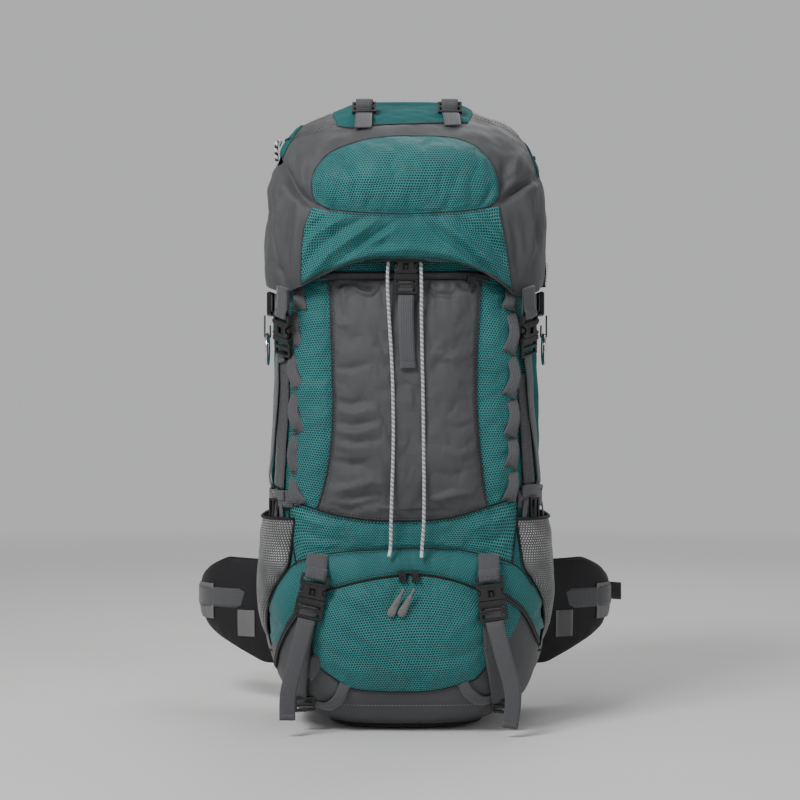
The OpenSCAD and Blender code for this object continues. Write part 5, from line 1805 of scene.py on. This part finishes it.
# ------------------------------------------------------------------ back panel: frame sheet, stays, pads
def rounded_ring(w, h, power=5):
    """Outline of a plate with round corners; a higher power makes it squarer."""
    ring, n = [], 72
    for i in range(n):
        a = 2 * math.pi * i / n
        c, s = math.cos(a), math.sin(a)
        ring.append((w / 2 * math.copysign(abs(c) ** (2 / power), c),
                     h / 2 * math.copysign(abs(s) ** (2 / power), s)))
    return ring


def cushion(name, centre, w, h, depth, mat, edge, body, nodes=(), channels=(), seed=0.0):
    """Pad on the back: a puffed face, a seam line and a piped rim; it grows toward +Y."""
    ring = rounded_ring(w, h)
    rings, n = 15, len(ring)
    verts = []
    for j in range(rings):
        k = j / (rings - 1)
        for x, z in ring:
            rise = depth * (1 - (1 - k) ** 3.0) if k < 1 else depth
            px, pz = x * (1 - k * 0.98), z * (1 - k * 0.98)
            for at, width, deep, upright in channels:
                d = (px - at) if upright else (pz - at)
                rise -= deep * math.exp(-(d / width) ** 2) * min(1, k * 5)
            rise += 0.7 * math.sin(px * 0.13 + seed) * math.cos(pz * 0.11 + 2 * seed) * min(1, k * 3)
            if j == 0:
                rise = 0.0
            verts.append((centre[0] + px, centre[1] + rise, centre[2] + pz))
    verts.append((centre[0], centre[1] + depth, centre[2]))
    faces = [(a, d, c, b) for a, b, c, d in ring_faces(rings, n)]
    last = (rings - 1) * n
    for i in range(n):
        faces.append((last + i, len(verts) - 1, last + (i + 1) % n))
    back = len(verts)
    verts.append((centre[0], centre[1], centre[2]))
    for i in range(n):
        faces.append((i, (i + 1) % n, back))
    verts = [Vector(v) * MM for v in verts]
    uvs = [(v.x, v.z) for v in verts]
    obj = add_object(name, verts, faces, [mat], uvs)
    turn_outward(obj, Vector((centre[0], centre[1] + depth * 0.4, centre[2])) * MM)
    pins = np.zeros(len(obj.data.vertices))
    pins[list(range(n)) + [back]] = 1
    cloth(obj, pins, pressure=1.2, shrink=-0.02, frames=10, cap=2.5, stiff=14, seed=seed)
    finish_piece(obj, body, nodes)
    rim = [Vector((centre[0] + x, centre[1] + 2.6, centre[2] + z)) * MM for x, z in ring + ring[:1]]
    finish_piece(tube(name + "_rim", rim, 0.0018, edge, 8), body, ())
    return obj


def sheet_plate():
    """The stiff sheet of the back panel with its bound edge."""
    ring = rounded_ring(236, 480, 14)
    n = len(ring)
    verts = []
    for y, inset in ((101.2, 1.0), (101.4, 0.0), (102.9, 0.0), (103.2, 1.2)):
        for x, z in ring:
            k = 1 - inset / 118
            verts.append(Vector((x * k, y, 300 + z * k)) * MM)
    faces = ring_faces(4, n)
    faces.append(tuple(range(n))[::-1])
    faces.append(tuple(3 * n + i for i in range(n)))
    obj = add_object("back_panel_sheet", verts, faces, [MAT["sheet"]], [(v.x, v.z) for v in verts],
                     smooth=False)
    turn_outward(obj, Vector((0, 0.1022, 0.3)))
    finish_piece(obj, "pack", ["frame_sheet"])
    rim = [Vector((x, 102.6, 300 + z)) * MM for x, z in ring + ring[:1]]
    finish_piece(tube("back_panel_binding", rim, 0.0024, MAT["binding"], 8), "pack", ())


sheet_plate()
webs = []
for x in (-55, 55):
    path = [Vector((x, 104.9, z)) * MM for z in range(62, 537, 6)]
    webs.append(band("stay", path, [Vector((0, 1, 0))] * len(path), 0.012, MAT["stay"], 0.0026))
finish_piece(join("alloy_stays", webs), "pack", ["frame_stays"])
webs = []
for x in (-55, 55):
    path = [Vector((x, 106.6, z)) * MM for z in (546, 541, 532, 520, 508, 500)]
    webs.append(band("cover", path, [Vector((0, 1, 0))] * len(path), 0.022, MAT["binding"], 0.0009))
finish_piece(join("stay_pocket_tops", webs), "pack", ())
PAD_BACK = 107.2  # y of the face that the pads are sewn to
for name, side in SIDES:
    cushion("back_pad_" + name, (side * 58, PAD_BACK, 328), 84, 250, 15.5, MAT["spacer"], MAT["binding"],
            "pack",
            ["back_pads"] if side < 0 else (),
            channels=((62, 6, 3.2, False), (0, 6, 3.2, False), (-62, 6, 3.2, False)), seed=0.7 + side)
cushion("lumbar_pad", (0, PAD_BACK, 130), 160, 130, 21, MAT["spacer"], MAT["binding"], "pack", (),
        channels=((26, 6, 3.6, True), (-26, 6, 3.6, True)), seed=2.3)


# ------------------------------------------------------------------ padded straps and wings
def sleeve(name, path, frames, outline, mats, pick, body, nodes, pressure=1.0, seed=0.0):
    """A closed pad round a path.

    frames gives (side, up, half width, half height) at each point of the path, and outline(a) the round of a
    section.
    """
    n = 40
    verts, uvs = [], []
    length = 0.0
    for i, q in enumerate(path):
        side, up, w, h = frames[i]
        if i:
            length += (path[i] - path[i - 1]).length
        for j in range(n):
            a = 2 * math.pi * j / n
            c, s = outline(a)
            verts.append(q + side * (w * c) + up * (h * s))
            uvs.append((w * c, length))
    faces = ring_faces(len(path), n)
    for ring in (0, len(path) - 1):
        verts.append(path[ring])
        uvs.append((0, 0))
        for j in range(n):
            e = (j + 1) % n
            a, b = ring * n + j, ring * n + e
            faces.append((a, b, len(verts) - 1) if ring else (b, a, len(verts) - 1))
    face_mats = [pick(f, n, len(path)) for f in range(len(faces))]
    obj = add_object(name, verts, faces, mats, uvs, face_mats)
    mend(obj)
    pins = np.zeros(len(obj.data.vertices))
    rim = [i * n + j for i in range(len(path)) for j in range(n) if abs(math.sin(2 * math.pi * j / n)) < 0.2]
    ends = list(range(n)) + list(range((len(path) - 1) * n, len(path) * n + 2))
    pins[rim + ends] = 1
    cloth(obj, pins, pressure=pressure, shrink=-0.02, frames=10, cap=1.2, stiff=16, seed=seed)
    finish_piece(obj, body, nodes)
    for s, tag in ((1, "a"), (-1, "b")):
        line = [q + frames[i][0] * (frames[i][2] * s * 0.995) for i, q in enumerate(path)]
        finish_piece(tube(name + "_edge_" + tag, settle(line, 1), 0.0017, MAT["binding"], 8),
            body, ())
    return obj


def square_round(p_side, p_up, puff):
    """Outline between a circle (powers of 2) and a square, puffed in the middle."""
    def outline(a):
        c, s = math.cos(a), math.sin(a)
        x = math.copysign(abs(c) ** (2 / p_side), c)
        y = math.copysign(abs(s) ** (2 / p_up), s)
        return x, y * (1 + puff * math.cos(math.pi * x * 0.5) ** 2)
    return outline


STRAP_ROUTE = [(44, 114, 462), (46, 134, 492), (50, 158, 500), (56, 178, 486), (62, 190, 455), (68, 196, 410),
               (74, 196, 360), (82, 190, 312), (90, 180, 270)]


def strap_width(k):
    return float(np.interp(k, [0, 0.3, 0.6, 1], [56, 66, 62, 46]))


for tag, sign in SIDES:
    path = smooth_path([Vector((sign * x, y, z)) * MM for x, y, z in STRAP_ROUTE], 0.006)
    n = len(path)
    frames = []
    for i in range(n):
        d = tangent(path, i)
        side = (Vector((1, 0, 0)) - d * d.x).normalized()
        up = d.cross(side).normalized()
        k = i / (n - 1)
        close = min(1.0, 0.45 + 6 * min(k, 1 - k))
        frames.append((side, up, strap_width(k) * MM / 2, 0.0062 * close))
    outside = 1 if frames[n // 2][1].y > 0 else -1

    def pick(f, ring, rows, outside=outside):
        j = f % ring
        if f >= ring * (rows - 1):
            return 1
        top = math.sin(2 * math.pi * (j + 0.5) / ring) * outside > 0
        return 1 if top else 0

    sleeve("shoulder_pad_" + tag, path, frames, square_round(3.2, 2.4, 0.12), [MAT["spacer"], MAT["grey"]],
           pick, "harness", ["shoulder_straps"] if sign < 0 else (), 1.0, sign * 1.3)
    # webbing sewn along the outer face, with its stitches
    line, normals = [], []
    for i in range(int(n * 0.16), n - 1):
        side, up, w, h = frames[i]
        line.append(path[i] + up * (outside * (h * 1.12 + 0.0016)))
        normals.append(up * outside)
    finish_piece(band("strap_webbing_" + tag, line, normals, WEBBING * MM, MAT["web"], 0.0014), "harness", ())
    rows = []
    for d in (-0.0082, 0.0082):
        rows.append(([q + Vector((d, 0, 0)) for q in line], normals))
    stitches("strap_stitches_" + tag, rows, MAT["thread"], "harness", lift=0.0016)

# load lifters at the top, adjusting webbing at the foot
for tag, sign in SIDES:
    def run(points, width=WEBBING * MM):
        path = smooth_path([Vector((sign * x, y, z)) * MM for x, y, z in points], 0.004)
        return band("web", path, [tangent(path, i).cross(Vector((1, 0, 0))) * -1 for i in range(len(path))],
                    width, MAT["web"], 0.0014)

    frames_bm = bmesh.new()
    slider_frame(frames_bm, move(sign * 60, 166, 509.5) @ turn("X", -68), WEBBING)
    slider_frame(frames_bm, move(sign * 92, 185.5, 262) @ turn("X", 8), WEBBING)
    hardware("strap_ladder_frames_" + tag, frames_bm, Matrix.Identity(4), MAT["black"], "harness", (),
             0.3)
    lower = join("strap_foot_webbing_" + tag,
                 [run([(92, 187.5, 266), (92, 188.2, 258), (92, 180, 232), (92, 160, 190), (92, 130, 130),
                       (92, 114, 96), (92, 106, 70)]),
                  run([(92, 189.4, 264), (92, 191.5, 250), (93, 193, 225), (94, 191, 190), (95, 186, 160)],
                      0.018)])
    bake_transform(lower)
    upper = run([(60, 166, 512.5), (60, 158, 515), (60, 140, 522), (60, 120, 530), (60, 106, 535)])
    upper.name = "load_lifter_" + tag
    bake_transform(upper)
    if sign < 0:
        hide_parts("harness_webbing")

finish_piece(bar_loop(AT_STERNUM, WEBBING, 36), "harness", ["sternum_strap"])
webs = [local_band(AT_STERNUM, [(1.6, -21), (3.4, -27), (4.4, -40), (4.6, -66)], WEBBING, MAT["web"]),
        local_band(AT_STERNUM, [(2.5, -10.2), (-1.6, -10.0), (-3.4, -12.5), (-4.6, -18), (-4.4, -60),
            (-3.0, -92)], 19, MAT["web"])]
chest_web = finish_piece(join("sternum_webbing", webs), "harness", ())
fixed, loose = (AT_STERNUM @ Vector((0, 0, -92))) * MM, (AT_STERNUM @ Vector((0, 0, -10))) * MM
tuple(fixed)
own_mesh(chest_web)

# haul handle: webbing folded and sewn into a round grip
AT_HANDLE = move(0, 106, 537) @ turn("X", -25) @ turn("X", -90)
webs = []
grip = [Vector(p) for p in ((-25, 0, 0), (-25, 0.2, 10), (-25.5, 0.4, 20), (-24, 0.4, 28), (-18, 0.4, 33),
                            (-8, 0.4, 35), (0, 0.4, 35.4), (8, 0.4, 35), (18, 0.4, 33), (24, 0.4, 28),
                            (25.5, 0.4, 20), (25, 0.2, 10), (25, 0, 0))]
path = smooth_path([(AT_HANDLE @ q) * MM for q in grip], 0.002)
up = (AT_HANDLE.to_3x3() @ Vector((0, -1, 0))).normalized()
webs.append(band("grip", path, [up] * len(path), lambda k: 0.017, MAT["web"], 0.0026))
webs.append(tube("grip_core", path[int(len(path) * 0.3):int(len(path) * 0.7)], 0.0052, MAT["web_dark"], 12))
finish_piece(join("haul_grip", webs), "handle", ["haul_handle"])

# ------------------------------------------------------------------ hip wings and belts
WING_ROUTE = [(134, 122), (160, 128), (190, 137), (220, 150), (245, 168), (258, 190), (262, 216), (258, 240)]
BELT_ROUTE = [(205, 134), (222, 141), (240, 152), (257, 166), (268, 186), (272.5, 214), (268, 244), (252, 272),
              (232, 292)]


def wing_reach(k):
    """Lowest and highest z of a hip wing at a share k of its length."""
    low = float(np.interp(k, [0, 0.25, 0.5, 0.75, 1], [50, 52, 76, 98, 116]))
    high = float(np.interp(k, [0, 0.25, 0.5, 0.75, 1], [168, 182, 184, 166, 148]))
    return low, high


for tag, sign in SIDES:
    flat_route = smooth_path([Vector((sign * x, y, 0)) * MM for x, y in WING_ROUTE], 0.005)
    n = len(flat_route)
    path, frames = [], []
    for i, q in enumerate(flat_route):
        k = i / (n - 1)
        low, high = wing_reach(k)
        d = tangent(flat_route, i)
        out = Vector((d.y, -d.x, 0)) * sign
        close = min(1.0, 0.4 + 7 * min(k, 1 - k))
        path.append(Vector((q.x, q.y, (low + high) / 2 * MM)))
        frames.append((Vector((0, 0, 1)), out, (high - low) / 2 * MM, 0.0076 * close))

    def pick(f, ring, rows):
        j = f % ring
        if f >= ring * (rows - 1):
            return 1
        return 1 if math.sin(2 * math.pi * (j + 0.5) / ring) > 0 else 0

    sleeve("hip_pad_" + tag, path, frames, square_round(3, 2.6, 0.05), [MAT["spacer"], MAT["dark"]], pick,
           "wing_" + tag, ["hip_wing_" + tag], 1.0, sign * 2.1)

    def outer(k, z, lift):
        """Point on the wing's outer face at a share of its length and a height."""
        i = min(n - 1, max(0, int(round(k * (n - 1)))))
        half = frames[i][2]
        z0 = path[i].z
        c = max(-1, min(1, (z * MM - z0) / half))
        s = (1 - abs(c) ** 3) ** (1 / 2.6)
        return Vector((path[i].x, path[i].y, z * MM)) + frames[i][1] * (frames[i][3] * s * 1.05 + lift
            * MM), frames[i][1]

    # webbing patch sewn over the wing, seen from the front as a lighter piece on the dark pad
    def patch(k0, k1, low, high, lift, mat, name):
        cols, rows = 14, 8
        verts, faces, uvs = [], [], []
        for i in range(cols + 1):
            k = k0 + (k1 - k0) * i / cols
            for j in range(rows + 1):
                z = low + (high - low) * j / rows
                verts.append(outer(k, z, lift)[0])
                uvs.append((k * 0.2, z * MM))
        for i in range(cols):
            for j in range(rows):
                a = i * (rows + 1) + j
                faces.append((a, a + 1, a + rows + 2, a + rows + 1))
        obj = add_object(name, verts, faces, [mat], uvs)
        face_out(obj, [outer(k0 + (k1 - k0) * 0.5, 120, 0)[1]] * len(verts))
        return finish_piece(obj, "wing_" + tag, ())

    patch(0.60, 0.80, 104, 150, 2.4, MAT["side_grey"], "hip_patch_" + tag)
    patch(0.30, 0.40, 84, 118, 2.4, MAT["side_grey"], "hip_tab_" + tag)

    path = smooth_path([Vector((sign * x, y, BELT_HEIGHT)) * MM for x, y in BELT_ROUTE], 0.005)
    normals = [Vector((tangent(path, i).y, -tangent(path, i).x, 0)) * sign for i in range(len(path))]
    belt = band("web", path, normals, 0.025, MAT["web"], 0.0016)
    m = AT_BELT_FEMALE if sign < 0 else AT_BELT
    if sign < 0:
        more = [bar_loop(m, 24, 10)]
    else:
        more = [local_band(m, [(2.5, -10.2), (-1.6, -10.0), (-3.4, -12.5), (-4.4, -18), (-5.4, -52),
            (-5.0, -96)], 23, MAT["web"])]
    finish_piece(join("belt_webbing_" + tag, [belt] + more), "wing_" + tag, ["hip_belt_" + tag])

# ------------------------------------------------------------------ collar under the lid
def collar_section(z):
    """The collar draws in toward its cord."""
    k = (z - 575) / 60
    return 146 - 70 * k, -100 + 54 * k, 94 - 48 * k


def collar_skin():
    rows, cols = 15, 120
    points = np.zeros((rows, cols, 3))
    for j in range(rows):
        k = j / (rows - 1)
        z = 574 + 60 * k
        high = (z - 575) / 60
        for i in range(cols):
            t = -180 + 360 * i / cols
            x, y = on_section(collar_section(z), t)
            ripple = (1.6 * math.sin(math.radians(t) * 23 + 1.1) + 1.1 * math.sin(math.radians(t) * 37)) * (0.2
                + high)
            r = math.hypot(x, y) or 1
            points[j, i] = (x + x / r * (ripple - 1.4 * (high > 0.99)), y + y / r * ripple, z)
    verts = [Vector(points[j, i]) * MM for j in range(rows) for i in range(cols)]
    uvs = [(math.atan2(v.x, v.y) * 0.1, v.z) for v in verts]
    obj = add_object("collar_cloth", verts, ring_faces(rows, cols), [MAT["ripstop"]], uvs)
    turn_outward(obj, Vector((0, 0, 0.6)))
    mod = obj.modifiers.new("thickness", "SOLIDIFY")
    mod.thickness = 0.0012
    mod.offset = -1
    apply_modifiers(obj)
    finish_piece(obj, "pack", ["collar"])
    z = 629
    ring = [tuple(float(q) for q in on_section(collar_section(z), t, 3.0)) for t in range(-6, -356, -6)]
    path = [Vector((-2.5, -68.5, 626))] + [Vector((x, y, z)) for x, y in ring] + [Vector((2.5, -68.5, 626))]
    path = smooth_path([q * MM for q in path], 0.003)
    finish_piece(tube("drawcord_round", path, CORD_R, MAT["cord"], 10), "pack", ["collar_drawcord"])


collar_skin()

# ------------------------------------------------------------------ materials on the CAD shapes that stay
for node, mat in (("cord_lock_barrel", "plastic_grey"), ("cord_lock_button", "black"),
                  ("front_zip_slider", "black"), ("bottom_slider_left", "black"),
                  ("bottom_slider_right", "black"), ("gear_ring_left", "steel"), ("gear_ring_right", "steel")):
    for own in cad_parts[node].material_slots:
        own.material = MAT[mat]


# ------------------------------------------------------------------ zip pulls
def drop(name, top, tip, mat, body, node):
    """A flat rubber drop; stops gives its half width in mm along it."""
    d = (tip - top).normalized()
    side = d.cross(Vector((0, 1, 0))).normalized()
    n, stops = 20, [(0, 1.3), (0.2, 1.5), (0.3, 2.7), (0.6, 3.7), (0.8, 4.9), (0.92, 4.6), (0.98, 2.8),
                    (1, 0.6)]
    verts, uvs = [], []
    ks = np.linspace(0, 1, 28)
    for k in ks:
        w = float(np.interp(k, [s[0] for s in stops], [s[1] for s in stops])) * MM
        for j in range(n):
            a = 2 * math.pi * j / n
            flat = min(w, 0.0016)
            verts.append(top + (tip - top) * float(k) + side * (w * math.cos(a)) + Vector((0, 1, 0))
                         * (flat * math.sin(a)))
            uvs.append((j / n * 0.01, float(k) * 0.03))
    faces = ring_faces(len(ks), n)
    faces += [tuple(range(n))[::-1], tuple((len(ks) - 1) * n + j for j in range(n))]
    obj = add_object(name, verts, faces, [mat], uvs)
    turn_outward(obj, (top + tip) / 2)
    return finish_piece(obj, body, [node])


for tag, top, tip in (("left", (-2, 172), (-19, 140)), ("right", (10, 172), (-7, 140))):
    low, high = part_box("bottom_pull_" + tag)
    y = min(low.y - 0.0015, FRONT.hit(top[0], top[1] - 8, 21.0)[0].y)
    foot = min(y, FRONT.hit(tip[0], tip[1], 15.5)[0].y)
    drop("pull_drop_" + tag, Vector((top[0] * MM, y, top[1] * MM)), Vector((tip[0] * MM, foot, tip[1] * MM)),
         MAT["rubber"], "pull_" + tag, "bottom_pull_" + tag)

low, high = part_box("lid_zip_slider")
bm = bmesh.new()
cells(bm, [-2, 2], [-4, 4], -5, 5)
zip_at = Vector((-151.5, -30, 697))
hardware("lid_slider_body", bm, move(*zip_at) @ turn("Y", 23), MAT["steel"], "lid_slider", ["lid_zip_slider"],
         0.8)
path = smooth_path([Vector(q) * MM for q in ((-153, -32, 698), (-154.6, -35, 697), (-155.2, -36, 691),
    (-155, -36.4, 683), (-154.4, -36.4, 675))], 0.002)
finish_piece(tube("lid_slider_pull", path, 0.0023, MAT["pull_cord"], 10), "lid_slider", ())

# ------------------------------------------------------------------ floor, light and finish
FLOOR_RADIUS = 6.0
BACKDROP = 0.52
OVERHEAD = 0.16


def make_stage():
    """A pale round floor that fades out into a backdrop of the same grey on every side."""
    g = Graph("studio_paper", rough=0.85, specular=0.2)
    place = g.place()
    g.colour(g.ramp(g.noise(place, 2.0, 2), [(0.3, (0.78, 0.78, 0.77)), (0.7, (0.83, 0.83, 0.82))]))
    x, y, _ = g.split(place)
    away = g.math("SQRT", g.math("ADD", g.math("MULTIPLY", x, x), g.math("MULTIPLY", y, y)))
    g.put(g.shader.inputs["Alpha"], g.ramp(g.math("DIVIDE", away, FLOOR_RADIUS),
                                           [(0.17, (1, 1, 1)), (0.6, (0, 0, 0))]))
    turns = 64
    ring = [(FLOOR_RADIUS * math.cos(2 * math.pi * i / turns), FLOOR_RADIUS * math.sin(2 * math.pi * i / turns),
             -0.0006) for i in range(turns)]
    add_object("studio_floor", ring, [tuple(range(turns))], [g.mat])
    world = bpy.data.worlds.new("studio")
    world.use_nodes = True
    tree = world.node_tree
    up = tree.nodes.new("ShaderNodeSeparateXYZ")
    tree.links.new(tree.nodes.new("ShaderNodeTexCoord").outputs["Generated"], up.inputs[0])
    glow = tree.nodes.new("ShaderNodeValToRGB")
    for element, (height, level) in zip(glow.color_ramp.elements, ((0.2, BACKDROP), (0.62, OVERHEAD))):
        element.position = height
        element.color = (level, level * 1.005, level * 1.01, 1)
    tree.links.new(up.outputs[2], glow.inputs[0])
    tree.links.new(glow.outputs[0], tree.nodes["Background"].inputs[0])
    bpy.context.scene.world = world


def area_light(name, at, aim, size, power, colour=(1, 1, 1)):
    data = bpy.data.lights.new(name, "AREA")
    data.shape = "RECTANGLE"
    data.size, data.size_y = size
    data.energy = power
    data.color = colour
    lamp = bpy.data.objects.new(name, data)
    lamp.location = at
    lamp.rotation_euler = (Vector(aim) - Vector(at)).to_track_quat("-Z", "Y").to_euler()
    bpy.context.scene.collection.objects.link(lamp)


make_stage()
area_light("key", (-1.0, -1.45, 2.0), (0, 0, 0.45), (0.8, 0.8), 44)
area_light("fill", (1.9, -1.6, 1.2), (0, 0, 0.35), (1.4, 1.4), 6, (0.97, 0.98, 1))
area_light("top", (0.1, 0.3, 2.5), (0, 0, 0.4), (1.6, 1.6), 7)
area_light("back", (0.6, 1.9, 2.2), (0, 0, 0.4), (1.6, 1.6), 22)
